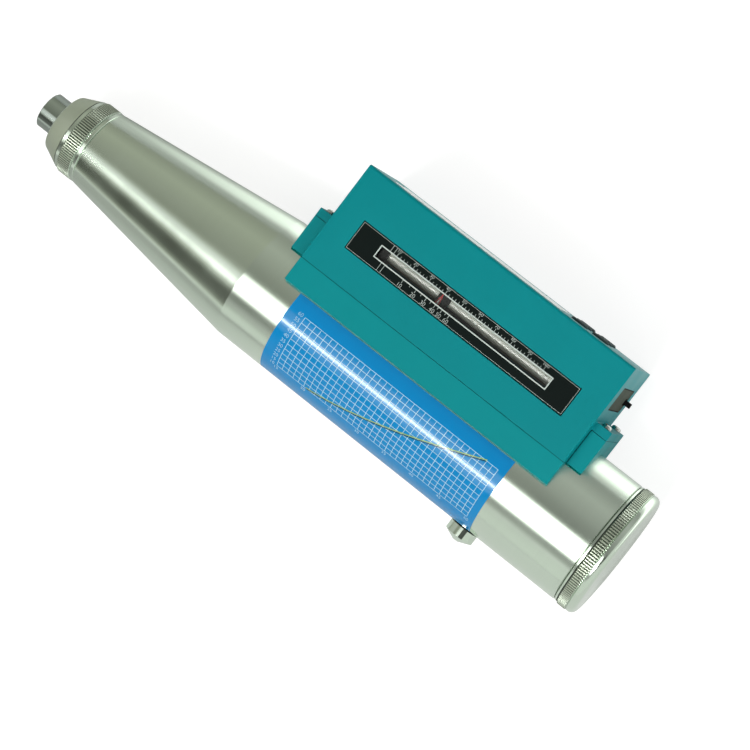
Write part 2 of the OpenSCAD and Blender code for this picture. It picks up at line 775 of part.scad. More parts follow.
module case_cover() {
    color("teal") stand() difference() {
        union() {
            cover_shell();
            for (x0 = [case_x - ear_len, case_rear - eps])
                block([x0, ear_split, -ear_w / 2], [x0 + ear_len + eps, ear_top, ear_w / 2]);
        }
        difference() {
            block([case_x + case_wall, split_y - 1, -case_in], [case_rear - case_wall, roof_y, case_in]);
            for (x = boss_xs, z = boss_zs) translate([x, board_y + board_t, z])
                rotate([-90, 0, 0]) cylinder(d = boss_d, h = 20);
        }
        block([case_x - 1, split_y - 1, -ear_w / 2], [case_x + case_wall + 1, ear_split, ear_w / 2]);
        block([case_rear - case_wall - 1, split_y - 1, -ear_w / 2], [case_rear + 1, ear_split, ear_w / 2]);
        for (x = boss_xs, z = boss_zs) translate([x, board_y + board_t - 1, z])
            rotate([-90, 0, 0]) cylinder(d = board_screw_d + 2 * seat_gap, h = 4);
        for (x = ear_x, z = [-1, 1] * ear_screw_gap / 2)
            translate([x, ear_split - 1, z]) rotate([-90, 0, 0]) cylinder(d = ear_screw_d + 2 * seat_gap, h = 9);
        block([plate_x0 - 0.1, plate_y - plate_w / 2 - 0.1, case_half - plate_t - 0.1],
            [plate_x0 + plate_len + 0.1, plate_y + plate_w / 2 + 0.1, case_half + 1]);
        block([window_x0 - 1, window_y - window_w / 2 - 1, case_in - 1],
            [window_x0 + window_len + 1, window_y + window_w / 2 + 1, case_half + 1]);
        round_plate(case_x + glass_x - 0.1, case_top - glass_t - 0.05, 0, glass_len + 0.2, glass_w + 0.2, 5, 2.1);
        block([case_x + glass_x + (glass_len - display_len) / 2, roof_y - 1, -display_w / 2],
            [case_x + glass_x + (glass_len + display_len) / 2, case_top + 1, display_w / 2]);
        for (x = key_xs, z = key_zs) translate([x, roof_y - 1, z]) rotate([-90, 0, 0])
            cylinder(d = key_d + 0.6, h = 10);
        round_panel(case_rear - end_t - 0.1, end_y, -end_back, end_h + 0.2, end_w + 0.2, 5, end_round + 0.1);
        block([case_rear - case_wall - 1, lever_y0 - 0.6, lever_z0 - 0.5],
            [case_rear, lever_y0 + lever_h + 0.6, lever_z0 + lever_w + lever_travel + 0.6]);
    }
}

module ear_screws() {
    color("silver") stand() for (x = ear_x, z = [-1, 1] * ear_screw_gap / 2)
        pan_screw(x, ear_top, z, ear_screw_d, ear_head_d, 1.4, ear_t + ear_thread);
}

module scale_plate() {
    color([0.08, 0.11, 0.11]) stand() difference() {
        block([plate_x0, plate_y - plate_w / 2, case_half - plate_t],
            [plate_x0 + plate_len, plate_y + plate_w / 2, case_half]);
        block([window_x0, window_y - window_w / 2, case_half - 3],
            [window_x0 + window_len, window_y + window_w / 2, case_half + 1]);
    }
}

module window_lens() {
    color([0.8, 0.9, 0.9, 0.4]) stand() block(
        [window_x0 - 2, window_y - window_w / 2 - 2, lens_z],
        [window_x0 + window_len + 2, window_y + window_w / 2 + 2, case_in]);
}

module pointer_rod() {
    color("silver") stand() translate([0, rod_y, rod_z]) bar(rod_front, rod_back - rod_front, pointer_rod_d / 2);
}

// One bracket of the rod, on the sensor board: the front one ends behind the lens
module rod_bracket(x0, top) {
    difference() {
        block([x0, rod_y - bracket_h / 2, bracket_z], [x0 + bracket_t, rod_y + bracket_h / 2, top]);
        translate([0, rod_y, rod_z]) bar(x0 - 1, bracket_t + 2, pointer_rod_d / 2 + seat_gap);
    }
}

module rod_brackets() {
    color("dimgray") stand() {
        rod_bracket(rod_front, lens_z);
        rod_bracket(rod_back - bracket_t, case_in);
    }
}

// The slider lies behind the rod, and its collar goes round it
module pointer_slider() {
    color("dimgray") stand() difference() {
        union() {
            block([slider_x, slider_y, slider_z], [slider_x + slider_len, slider_y + slider_h, rod_z]);
            block([slider_x, slider_y, slider_z], [slider_x + collar_len, slider_y + slider_h, slider_z + slider_t]);
        }
        translate([0, rod_y, rod_z]) bar(slider_x - 1, slider_len + 2, pointer_rod_d / 2 + run_gap);
    }
}

module index_mark() {
    half = window_w / 2 - 0.1;
    color("firebrick") stand() translate([mark_0 + shift, window_y, slider_z + slider_t])
        linear_extrude(0.2) polygon([[-1, -half], [0, half], [1, -half]]);
}

// The leaf hangs from the slider's underside and points at the hammer's axis
module pointer_leaf() {
    reach = mass_d / 2 + pass_gap;
    foot_r = (slider_y - leaf_t) / sin(slot_angle);
    foot_z = foot_r * cos(slot_angle);
    half = leaf_t / 2;
    color("silver") stand() {
        intersection() {
            rotate([90 - slot_angle, 0, 0]) block([leaf_x, reach, -half], [leaf_x + leaf_w, 60, half]);
            block([leaf_x - 1, 0, 0], [leaf_x + leaf_w + 1, slider_y - leaf_t / 2, 60]);
        }
        block([leaf_x, slider_y - leaf_t, foot_z - 1], [leaf_x + leaf_w, slider_y, rod_z]);
    }
}

// The board stays above the leaf, which passes under its lower edge
module sensor_board() {
    color("darkgreen") stand() block([rod_front, slider_y + pass_gap, sensor_z],
        [rod_back, rod_y + bracket_h / 2, sensor_z + board_t]);
}

module display_glass() {
    color([0.1, 0.12, 0.13, 0.6]) stand()
        round_plate(case_x + glass_x, case_top - glass_t, 0, glass_len, glass_w, glass_t, 2);
}

module display_module() {
    x0 = case_x + glass_x + (glass_len - display_len) / 2 - display_rim;
    half = display_w / 2 + display_rim;
    color("darkolivegreen") stand() block([x0, board_y + board_t, -half],
        [x0 + display_len + 2 * display_rim, roof_y, half]);
}

module main_board() {
    color("darkgreen") stand() difference() {
        block([case_x + case_wall + 2 * board_gap, board_y, -case_in + board_gap],
            [case_rear - case_wall - 2 * board_gap, board_y + board_t, case_in - board_gap]);
        for (x = boss_xs, z = boss_zs) translate([x, board_y - 1, z]) rotate([-90, 0, 0])
            cylinder(d = board_screw_d + 2 * seat_gap, h = 10);
    }
}

module board_screws() {
    color("silver") stand() for (x = boss_xs, z = boss_zs) translate([x, board_y, z]) rotate([-90, 0, 0]) {
        translate([0, 0, -1.3]) cylinder(d = board_head_d, h = 1.3);
        translate([0, 0, -eps]) cylinder(d = board_screw_d, h = board_t + 2.5);
    }
}

module battery() {
    x0 = case_x + battery_x;
    z0 = -case_in + battery_z;
    color("steelblue") stand() block([x0, board_y - stop_gap - battery_t, z0],
        [x0 + battery_len, board_y - stop_gap, z0 + battery_w]);
}

module end_panel() {
    color([0.12, 0.15, 0.14]) stand() difference() {
        round_panel(case_rear - end_t, end_y, -end_back, end_h, end_w, end_t - 0.1, end_round);
        block([case_rear - 3, lever_y0 - 0.4, lever_z0 - 0.3],
            [case_rear + 1, lever_y0 + lever_h + 0.4, lever_z0 + lever_w + lever_travel + 0.4]);
    }
}

module power_switch() {
    color("dimgray") stand() block([switch_x, lever_y0 - 2, lever_z0 - 1],
        [switch_x + switch_t, board_y, lever_z0 + lever_w + lever_travel + 3]);
}

module switch_lever() {
    color([0.03, 0.03, 0.03]) stand() block([switch_x + switch_t + 0.1, lever_y0, lever_z0],
        [case_rear + lever_out, lever_y0 + lever_h, lever_z0 + lever_w]);
}

module key_mat() {
    half = key_row + key_d / 2 + mat_rim;
    color("gray") stand() block([key_xs[0] - key_d / 2 - mat_rim, board_y + board_t, -half],
        [mat_end, board_y + board_t + mat_t, half]);
}

// One key: a button with a flange that keeps it under the cover
module key(i) {
    x = key_xs[i % 2];
    z = key_zs[floor(i / 2)];
    color("gainsboro") stand() translate([x, 0, z]) rotate([-90, 0, 0]) rotate_extrude() polygon([
        [0, key_flange_y], [key_d / 2 + key_rim, key_flange_y], [key_d / 2 + key_rim, key_flange_y + key_flange_t],
        [key_d / 2, key_flange_y + key_flange_t], [key_d / 2, case_top + key_out - 0.4],
        [key_d / 2 - 0.4, case_top + key_out], [0, case_top + key_out]
    ]);
}

module key_1() { key(0); }
module key_2() { key(1); }
module key_3() { key(2); }
module key_4() { key(3); }
module key_5() { key(4); }
module key_6() { key(5); }

plunger();
buffer_spring();
guide_rod();
rod_nut();
guide_flange();
pawl();
pawl_pin();
pawl_spring();
hammer_mass();
impact_spring();
spring_sleeve();
compression_spring();
front_cap();
felt_ring();
two_part_ring();
housing();
chart_label();
rear_cap();
trip_screw();
lock_nut();
push_button();
lock_pin();
button_spring();
button_bush();
case_saddle();
saddle_screws();
case_cover();
ear_screws();
scale_plate();
window_lens();
pointer_rod();
rod_brackets();
pointer_slider();
index_mark();
pointer_leaf();
sensor_board();
display_glass();
display_module();
main_board();
board_screws();
battery();
end_panel();
power_switch();
switch_lever();
key_mat();
key_1();
key_2();
key_3();
key_4();
key_5();
key_6();
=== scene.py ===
"""Looks of a concrete rebound hammer: finishes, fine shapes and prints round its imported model.

The object lies on the back of its case. X runs along the hammer towards the rear cap, Y towards the
top of the case and Z up, out of the scale side. Sizes in the classes are millimetres, measured from
the nose and from the hammer's axis, and Axis turns them into the frame's metres.
"""

import logging
import math
from abc import ABC, abstractmethod
from collections.abc import Callable, Iterable, Sequence
from dataclasses import dataclass, field
from enum import Enum, IntEnum
from typing import ClassVar

import bmesh
import bpy
from mathutils import Matrix, Vector


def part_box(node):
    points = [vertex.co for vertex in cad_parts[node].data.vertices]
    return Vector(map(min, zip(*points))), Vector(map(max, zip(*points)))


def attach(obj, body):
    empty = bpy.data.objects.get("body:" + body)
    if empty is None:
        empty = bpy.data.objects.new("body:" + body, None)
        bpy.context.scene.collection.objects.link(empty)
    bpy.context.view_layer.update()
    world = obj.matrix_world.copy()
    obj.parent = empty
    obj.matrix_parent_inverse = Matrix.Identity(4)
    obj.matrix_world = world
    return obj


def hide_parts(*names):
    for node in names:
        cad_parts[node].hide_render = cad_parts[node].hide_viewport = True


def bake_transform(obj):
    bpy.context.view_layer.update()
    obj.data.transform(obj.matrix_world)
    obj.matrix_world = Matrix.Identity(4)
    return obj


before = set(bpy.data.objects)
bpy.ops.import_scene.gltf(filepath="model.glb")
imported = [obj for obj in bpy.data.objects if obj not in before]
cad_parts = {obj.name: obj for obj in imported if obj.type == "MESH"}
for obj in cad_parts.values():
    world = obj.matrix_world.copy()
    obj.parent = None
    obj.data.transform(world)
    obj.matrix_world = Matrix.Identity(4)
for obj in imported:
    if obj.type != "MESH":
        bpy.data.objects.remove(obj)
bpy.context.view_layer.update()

logging.basicConfig(level=logging.INFO, format="%(message)s")
log = logging.getLogger("rebound_hammer")

MM = 0.001
Colour = tuple[float, float, float, float]
Point = tuple[float, float, float]
Pair = tuple[float, float]
Stops = tuple[Pair, ...]
Place = Callable[[float, float, float], Vector]
Tree = bpy.types.NodeTree
Socket = bpy.types.NodeSocket
Piece = bpy.types.Object

# The frame's directions: towards the rear cap, towards the case's top, and out of the scale side.
ALONG, UP, OUT = Vector((1, 0, 0)), Vector((0, 1, 0)), Vector((0, 0, 1))

# Each stop is an angle in degrees from straight up towards +Y, and the brightness there.
NOSE_ROOM = ((-90, 0.45), (-80, 0.2), (-70, 0.06), (-55, 0.06), (-46, 0.1), (-38, 0.3), (-33, 0.6),
             (-25, 0.72), (-16, 0.62), (-8, 0.3), (0, 0.27), (15, 0.31), (55, 0.42), (90, 0.3))
TUBE_ROOM = ((-90, 0.72), (-68, 0.9), (-62, 0.8), (-55, 0.42), (-45, 0.33), (-40.5, 2.9), (-31, 3.1),
             (-8.5, 2.7), (-6.5, 0.35), (0, 0.24), (15, 0.3), (25, 0.36), (55, 0.46), (80, 0.34), (90, 0.34))
REAR_ROOM = ((-90, 0.72), (-68, 0.9), (-62, 0.8), (-55, 0.3), (-44, 0.08), (-8, 0.08), (0, 0.27),
             (15, 0.32), (25, 0.36), (55, 0.46), (85, 0.34), (90, 0.34))
END_ROOM = ((-90, 0.45), (-70, 0.38), (20, 0.56), (60, 0.36), (90, 0.2))
LAMP = ((-90, 0.0), (-36, 0.0), (-31, 6.0), (-29.5, 26.0), (-26.5, 26.0), (-25, 6.0), (-20, 0.0), (90, 0.0))
# Stops brighter than this are lamps, which are white. Only the dimmer room between them is tinted.
LAMP_LEVEL = 0.5
NOSE_TINT = (0.98, 1.0, 0.84)
ROOM_TINT = (0.985, 1.0, 0.965)
LAMP_TINT = (1.0, 1.0, 0.99)
# Each span is the part of a direction along X over which one stretch of the room fades into the next.
TUBE_FROM = (-0.42, -0.07)
REAR_FROM = (0.10, 0.14)
LAMP_FROM = (-0.26, -0.235)
LAMP_TO = (0.14, 0.10)
END_FROM = (-0.58, -0.75)
# Painted light: the paper's glow that only mirrors see, brightest in a strip, by metres along Y in the frame.
MIRRORED_PAINTED_GLOW = ((-0.2, 0.3), (0.0, 0.3), (0.015, 0.36), (0.028, 0.55), (0.045, 1.2), (0.095, 1.3), (0.16, 0.8),
        (0.26, 0.4), (0.5, 0.3))


class Ink(Enum):
    """Inks that the label and the scale plate are printed with."""

    WHITE = "B8DEE8"
    SILVER = "C8D4CE"
    BLACK = "15181A"
    LIME = "A8C63A"


def linear(code: str, level: float = 1.0) -> Colour:
    """Turns an sRGB hex code into a linear colour.

    Args:
        code: six hex digits.
        level: how much lighter or darker than its code the colour gets.

    Returns:
        Red, green, blue and an alpha of 1.
    """
    parts = [int(code[i:i + 2], 16) / 255 for i in (0, 2, 4)]
    parts = [p / 12.92 if p <= 0.04045 else ((p + 0.055) / 1.055) ** 2.4 for p in parts]
    red, green, blue = [min(1.0, p * level) for p in parts]
    return red, green, blue, 1.0


def add_node(tree: Tree, kind: str, inputs: dict | None = None, **settings: object) -> bpy.types.Node:
    """Adds a node with its settings and links.

    Args:
        tree: the material's or the world's node tree.
        kind: the node's type, without "ShaderNode".
        inputs: input socket to the output socket that feeds it, or to the value that it holds.
        settings: the node's own properties.

    Returns:
        The new node.
    """
    node = tree.nodes.new("ShaderNode" + kind)
    for name, value in settings.items():
        setattr(node, name, value)
    for name, value in (inputs or {}).items():
        if isinstance(value, Socket):
            tree.links.new(value, node.inputs[name])
        else:
            node.inputs[name].default_value = value
    return node


def handled(tree: Tree, place: Socket, cloud_mm: float, detail: float, low: float,
            high: float) -> tuple[Socket, Socket]:
    """Adds the soft clouds that making and handling leave on a surface, and the gloss that follows them.

    Args:
        tree: the material's nodes.
        place: the object's own places.
        cloud_mm: the width of a cloud.
        detail: how finely they break up.
        low: the roughness where the surface is smoothest.
        high: the roughness where it is dullest.

    Returns:
        The clouds and the roughness.
    """
    noise = add_node(tree, "TexNoise", {"Vector": place, "Scale": 1 / (cloud_mm * MM), "Detail": detail})
    clouds = noise.outputs["Fac"]
    # The noise keeps between these two shares nearly everywhere.
    gloss = add_node(tree, "MapRange", {"Value": clouds, "From Min": 0.3, "From Max": 0.7, "To Min": low,
                                        "To Max": high})
    return clouds, gloss.outputs[0]


def grained(tree: Tree, place: Socket, spacing_mm: float, depth: float, detail: float) -> Socket:
    """Adds a fine grain that only the light shows.

    Args:
        tree: the material's nodes.
        place: the object's own places.
        spacing_mm: from one grain to the next.
        depth: the strength of its relief.
        detail: how finely it breaks up.

    Returns:
        The surface's direction.
    """
    grain = add_node(tree, "TexNoise", {"Vector": place, "Scale": 1 / (spacing_mm * MM), "Detail": detail})
    relief = add_node(tree, "Bump", {"Height": grain.outputs["Fac"], "Strength": depth,
                                     "Distance": 0.05 * MM})
    return relief.outputs[0]


def drawn(tree: Tree, value: Socket, stops: Stops, dim: Point, lit: Point) -> Socket:
    """Draws a brightness over a value, from the value of its first stop to that of its last.

    Args:
        tree: the material's or the world's nodes.
        value: what the brightness depends on.
        stops: pairs of a value and the brightness there, in order.
        dim: the tint of what is dimmer than a lamp.
        lit: the tint of the lamps.

    Returns:
        The colour.
    """
    first, last = stops[0][0], stops[-1][0]
    share = add_node(tree, "MapRange", {"Value": value, "From Min": first, "From Max": last})
    ramp = add_node(tree, "ValToRGB", {"Fac": share.outputs[0]})
    elements = ramp.color_ramp.elements
    elements.remove(elements[1])
    for i, (spot, level) in enumerate(stops):
        position = (spot - first) / (last - first)
        element = elements[0] if i == 0 else elements.new(position)
        element.position = position
        element.color = tuple(level * shade for shade in (lit if level > LAMP_LEVEL else dim)) + (1.0,)
    return ramp.outputs["Color"]


@dataclass(frozen=True)
class Finish(ABC):
    """A finish, named for the real material and how its surface was made."""

    name: str

    @abstractmethod
    def shade(self, tree: Tree, place: Socket) -> Socket:
        """Adds the finish's shader, drawn by the object's own places, and gives its output."""

    def build(self) -> bpy.types.Material:
        """Makes the material.

        Returns:
            The material.
        """
        material = bpy.data.materials.new(self.name)
        material.use_nodes = True
        tree = material.node_tree
        tree.nodes.clear()
        place = add_node(tree, "TexCoord").outputs["Object"]
        add_node(tree, "OutputMaterial", {"Surface": self.shade(tree, place)})
        return material


@dataclass(frozen=True)
class TurnedAluminium(Finish):
    """Turned and satin anodised aluminium.

    The tool leaves fine rings round the axis, so lamps smear along the tube and stay sharp round it.
    """

    colour: str = "E2F0E0"
    roughness: float = 0.2
    anisotropy: float = 0.7
    ring_mm: float = 0.35
    ring_depth: float = 0.02
    ring_shade: float = 0.93
    drift_mm: float = 166.7
    cloud_mm: float = 22.22
    turned_about: str = "X"

    def shade(self, tree: Tree, place: Socket) -> Socket:
        """Adds the shader, with rings round the axis that the piece is turned about.

        Args:
            tree: the material's nodes.
            place: the object's own places.

        Returns:
            The shader's output.
        """
        # Real rings are 0.1 mm apart, which is under a pixel here, so they are drawn wider.
        # They hardly change across their axis.
        widths = [self.ring_mm if letter == self.turned_about else self.drift_mm for letter in "XYZ"]
        scale = tuple(1 / (width * MM) for width in widths)
        stretch = add_node(tree, "Mapping", {"Vector": place, "Scale": scale})
        rings = add_node(tree, "TexNoise", {"Vector": stretch.outputs[0], "Scale": 1.0, "Detail": 3.0,
                                            "Roughness": 0.7}).outputs["Fac"]
        gloss = handled(tree, place, self.cloud_mm, 4.0, self.roughness * 0.85, self.roughness * 1.2)[1]
        tint = add_node(tree, "MixRGB", {"Fac": rings, "Color1": linear(self.colour),
                                         "Color2": linear(self.colour, self.ring_shade)})
        relief = add_node(tree, "Bump", {"Height": rings, "Strength": self.ring_depth,
                                         "Distance": 0.02 * MM})
        around = add_node(tree, "Tangent", direction_type="RADIAL", axis=self.turned_about)
        shader = add_node(tree, "BsdfPrincipled",
                          {"Base Color": tint.outputs[0], "Roughness": gloss, "Normal": relief.outputs[0],
                           "Tangent": around.outputs[0], "Metallic": 1.0,
                           "Anisotropic": self.anisotropy, "Anisotropic Rotation": 0.25})
        return shader.outputs[0]


@dataclass(frozen=True)
class BareMetal(Finish):
    """Ground, drawn or cast metal: its sheen breaks up in fine grain and handling marks."""

    colour: str
    roughness: float
    grain_mm: float = 0.4
    grain_depth: float = 0.08
    stain: float = 0.12
    mark_mm: float = 7.692

    def shade(self, tree: Tree, place: Socket) -> Socket:
        """Adds the shader.

        Args:
            tree: the material's nodes.
            place: the object's own places.

        Returns:
            The shader's output.
        """
        low, high = self.roughness * 0.7, self.roughness * 1.4
        marks, gloss = handled(tree, place, self.mark_mm, 5.0, low, high)
        tint = add_node(tree, "MixRGB", {"Fac": marks, "Color1": linear(self.colour),
                                         "Color2": linear(self.colour, 1 - self.stain)})
        relief = grained(tree, place, self.grain_mm, self.grain_depth, 3.0)
        shader = add_node(tree, "BsdfPrincipled", {"Base Color": tint.outputs[0], "Roughness": gloss,
                                                   "Normal": relief, "Metallic": 1.0})
        return shader.outputs[0]


@dataclass(frozen=True)
class Coated(Finish):
    """A moulded, painted or printed surface: a coloured body under a skin that gives it its shine."""

    colour: str
    roughness: float
    specular: float = 0.5
    coat: float = 0.0
    coat_roughness: float = 0.1
    coat_ior: float = 1.5
    grain_mm: float = 0.5
    grain_depth: float = 0.1
    mottle: float = 0.05
    cloud_mm: float = 16.67

    def shade(self, tree: Tree, place: Socket) -> Socket:
        """Adds the shader.

        Args:
            tree: the material's nodes.
            place: the object's own places.

        Returns:
            The shader's output.
        """
        low, high = self.roughness * 0.9, self.roughness * 1.12
        clouds, gloss = handled(tree, place, self.cloud_mm, 4.0, low, high)
        tint = add_node(tree, "MixRGB", {"Fac": clouds, "Color1": linear(self.colour, 1 - self.mottle),
                                         "Color2": linear(self.colour, 1 + self.mottle)})
        relief = grained(tree, place, self.grain_mm, self.grain_depth, 2.0)
        shader = add_node(tree, "BsdfPrincipled",
                          {"Base Color": tint.outputs[0], "Roughness": gloss, "Normal": relief, "IOR": 1.5,
                           "Specular IOR Level": self.specular, "Coat Weight": self.coat,
                           "Coat Roughness": self.coat_roughness, "Coat IOR": self.coat_ior})
        return shader.outputs[0]


@dataclass(frozen=True)
class ClearAcrylic(Finish):
    """Cast and polished acrylic: it shows by its gloss alone, which grows at a flat angle.

    The rest of the light goes straight through, so what lies behind stays lit.
    """

    colour: str = "F2F8F5"
    roughness: float = 0.04
    ior: float = 1.49
    smear_mm: float = 11.11

    def shade(self, tree: Tree, place: Socket) -> Socket:
        """Adds the shader.

        Args:
            tree: the material's nodes.
            place: the object's own places.

        Returns:
            The shader's output.
        """
        gloss = handled(tree, place, self.smear_mm, 3.0, self.roughness, self.roughness * 2)[1]
        share = add_node(tree, "Fresnel", {"IOR": self.ior})
        shader = add_node(tree, "BsdfPrincipled", {"Roughness": gloss, "Alpha": share.outputs[0],
                                                   "Base Color": linear(self.colour), "Metallic": 1.0})
        return shader.outputs[0]


@dataclass(frozen=True)
class SmokedAcrylic(Finish):
    """Smoked acrylic: dark in its body and polished, so that what is behind it shows faintly."""

    colour: str = "0E1312"
    density: float = 0.62
    specular: float = 0.25
    polish: Pair = (0.04, 0.09)
    smear_mm: float = 11.11

    def shade(self, tree: Tree, place: Socket) -> Socket:
        """Adds the shader.

        Args:
            tree: the material's nodes.
            place: the object's own places.

        Returns:
            The shader's output.
        """
        gloss = handled(tree, place, self.smear_mm, 3.0, *self.polish)[1]
        shader = add_node(tree, "BsdfPrincipled",
                          {"Roughness": gloss, "Base Color": linear(self.colour), "Alpha": self.density,
                           "Specular IOR Level": self.specular})
        return shader.outputs[0]


@dataclass(frozen=True)
class PaperFloor(Finish):
    """White paper that glows by itself: evenly to the camera, and unevenly in what mirrors it.

    There it is painted light: a strip of it, mostly at the rear end, is painted brighter, as if a lamp
    behind the case's top lit it. The strip's share grows over lamp_from, which is in metres along X.
    """

    name: str = "white_paper_floor"
    colour: str = "A2A2A2"
    tint: Point = (0.97, 1.0, 0.97)
    seen: Colour = (0.8, 0.8, 0.8, 1.0)
    # Painted light, not a lamp: where the painted strip of glow fades in along X, and its share there.
    lamp_from: Pair = (-0.14, -0.02)
    lamp_share: Pair = (0.15, 1.0)

    def shade(self, tree: Tree, place: Socket) -> Socket:
        """Adds the shader.

        Args:
            tree: the material's nodes.
            place: the floor's own places, which are the frame's.

        Returns:
            The shader's output.
        """
        path = add_node(tree, "LightPath").outputs
        mirrored = add_node(tree, "Math", {0: path["Is Glossy Ray"], 1: path["Is Transmission Ray"]},
                            operation="ADD", use_clamp=True)
        spot = add_node(tree, "SeparateXYZ", {0: place})
        # The glow that mirrors see is painted light: a bright strip along Y that fades towards the front.
        strip = drawn(tree, spot.outputs["Y"], MIRRORED_PAINTED_GLOW, self.tint, self.tint)
        along = add_node(tree, "MapRange",
                         {"Value": spot.outputs["X"], "From Min": self.lamp_from[0],
                          "From Max": self.lamp_from[1], "To Min": self.lamp_share[0],
                          "To Max": self.lamp_share[1]})
        glow = add_node(tree, "MixRGB", {"Fac": 1.0, "Color1": strip, "Color2": along.outputs[0]},
                        blend_type="MULTIPLY")
        glow = add_node(tree, "MixRGB", {"Fac": mirrored.outputs[0], "Color1": (0, 0, 0, 1),
                                         "Color2": glow.outputs[0]})
        paper = add_node(tree, "MixRGB", {"Fac": path["Is Camera Ray"], "Color1": glow.outputs[0],
                                          "Color2": self.seen})
        white = add_node(tree, "BsdfDiffuse", {"Color": linear(self.colour)})
        own = add_node(tree, "Emission", {"Color": paper.outputs[0], "Strength": 1.0})
        return add_node(tree, "AddShader", {0: white.outputs[0], 1: own.outputs[0]}).outputs[0]


@dataclass
class Finishes:
    """Every finish of the object, built once."""

    made: dict[str, bpy.types.Material] = field(default_factory=dict)

    def build(self) -> "Finishes":
        """Builds the materials.

        Returns:
            The same object, with its materials made.
        """
        kinds = [
            # Turned metal draws lamps out into bright lines along the hammer, and the dim room between them
            # into dark ones. The knurl's crests are dull, the caps' grooves are darker with painted shade and
            # a little oxide, and the button is polished.
            TurnedAluminium("turned_anodised_aluminium"),
            TurnedAluminium("fine_turned_aluminium", roughness=0.15, ring_mm=0.3),
            TurnedAluminium("satin_turned_aluminium", "D6E0CC", roughness=0.45, anisotropy=0.2),
            # A darker copy of the aluminium for the grooves: painted shade, with a little oxide.
            TurnedAluminium("shaded_knurl_groove", "8E978A", roughness=0.4, anisotropy=0.2),
            TurnedAluminium("polished_turned_button", roughness=0.07, anisotropy=0.4, turned_about="Y"),
            # Ground steel mirrors the room sharply. Drawn, cast, blackened and plated metal blur it, each in
            # its own tone.
            BareMetal("ground_steel", "BCC8BF", 0.09, grain_depth=0.03),
            BareMetal("spring_steel", "8D9294", 0.28),
            BareMetal("blackened_steel", "3A3B3D", 0.38),
            BareMetal("hammer_steel", "A4A9AC", 0.26),
            BareMetal("zinc_plated_steel", "C4C8C2", 0.2),
            BareMetal("milled_aluminium", "C4C9C6", 0.3),
            BareMetal("brass", "C9A24A", 0.25),
            # Bead blasting leaves the rod an even pale sheen, and felt has none at all.
            Coated("bead_blasted_rod", "E2E7DA", 0.3, specular=0.9, grain_mm=0.3, grain_depth=0.05),
            Coated("wool_felt", "A08A68", 0.95, grain_mm=0.3, grain_depth=0.6, mottle=0.2),
            # Satin enamel is a flat teal with a weak sheen. The label's blue is as flat, but lies under a
            # clear film that gives it sharp highlights.
            Coated("satin_enamel_cover", "00868C", 0.45, specular=0.1),
            Coated("satin_enamel_saddle", "008B90", 0.45, specular=0.1),
            Coated("laminated_label_film", "0086C6", 0.5, specular=0.0, coat=1.0, coat_roughness=0.05,
                   coat_ior=1.42, grain_depth=0.02, mottle=0.02),
            # The plate and the nylon are a deep black with a faint sheen, and the black strips of painted
            # shade in the case's joints have almost none.
            Coated("black_anodised_plate", "0C1614", 0.3, specular=0.08, grain_depth=0.03),
            Coated("black_moulded_nylon", "0E1010", 0.4, specular=0.3),
            Coated("black_rubber_seal", "060808", 0.8, specular=0.1),
            # Lacquer, boards, the display and the battery's film have a clear skin that shines.
            Coated("red_lacquer", "B0262A", 0.3, coat=0.4),
            Coated("circuit_board", "1E5B34", 0.35, coat=0.5),
            Coated("liquid_crystal_panel", "8C9A7C", 0.2, coat=0.6, mottle=0.03),
            Coated("shrink_film_wrap", "2E5E94", 0.25, coat=0.5),
            # The sheet panel is dull and greenish, and the rubber of the mat and the keys dull and grey.
            Coated("dark_sheet_panel", "2C3626", 0.65, specular=0.15, grain_depth=0.05),
            Coated("silicone_rubber", "4B4F50", 0.7),
            Coated("dark_rubber_keys", "3C4A4A", 0.6, specular=0.15),
            # The clear lens shows as a gloss over the scale, and the smoked glass hides most of the display.
            ClearAcrylic("clear_acrylic"),
            SmokedAcrylic("smoked_acrylic"),
            PaperFloor(),
        ]
        for ink in Ink:
            # The label's inks lie under its clear film, and the plate's silver ink lies bare.
            film = 0.0 if ink is Ink.SILVER else 1.0
            kinds.append(Coated(f"{ink.name.lower()}_ink", ink.value, 0.5, specular=0.1, coat=film,
                                coat_roughness=0.05, coat_ior=1.42, grain_depth=0.03, mottle=0.03))
        for kind in kinds:
            self.made[kind.name] = kind.build()
        log.info("built %d finishes", len(self.made))
        return self

    def dress(self, piece: Piece, *names: str) -> Piece:
        """Gives a piece its finish, or one for each of its patches.

        Args:
            piece: a CAD node's object or a piece made here.
            names: the finishes' names, in the order of the patches.

        Returns:
            The piece.
        """
        while len(piece.material_slots) < len(names):
            piece.data.materials.append(None)
        for i, slot in enumerate(piece.material_slots):
            slot.material = self.made[names[min(i, len(names) - 1)]]
        return piece


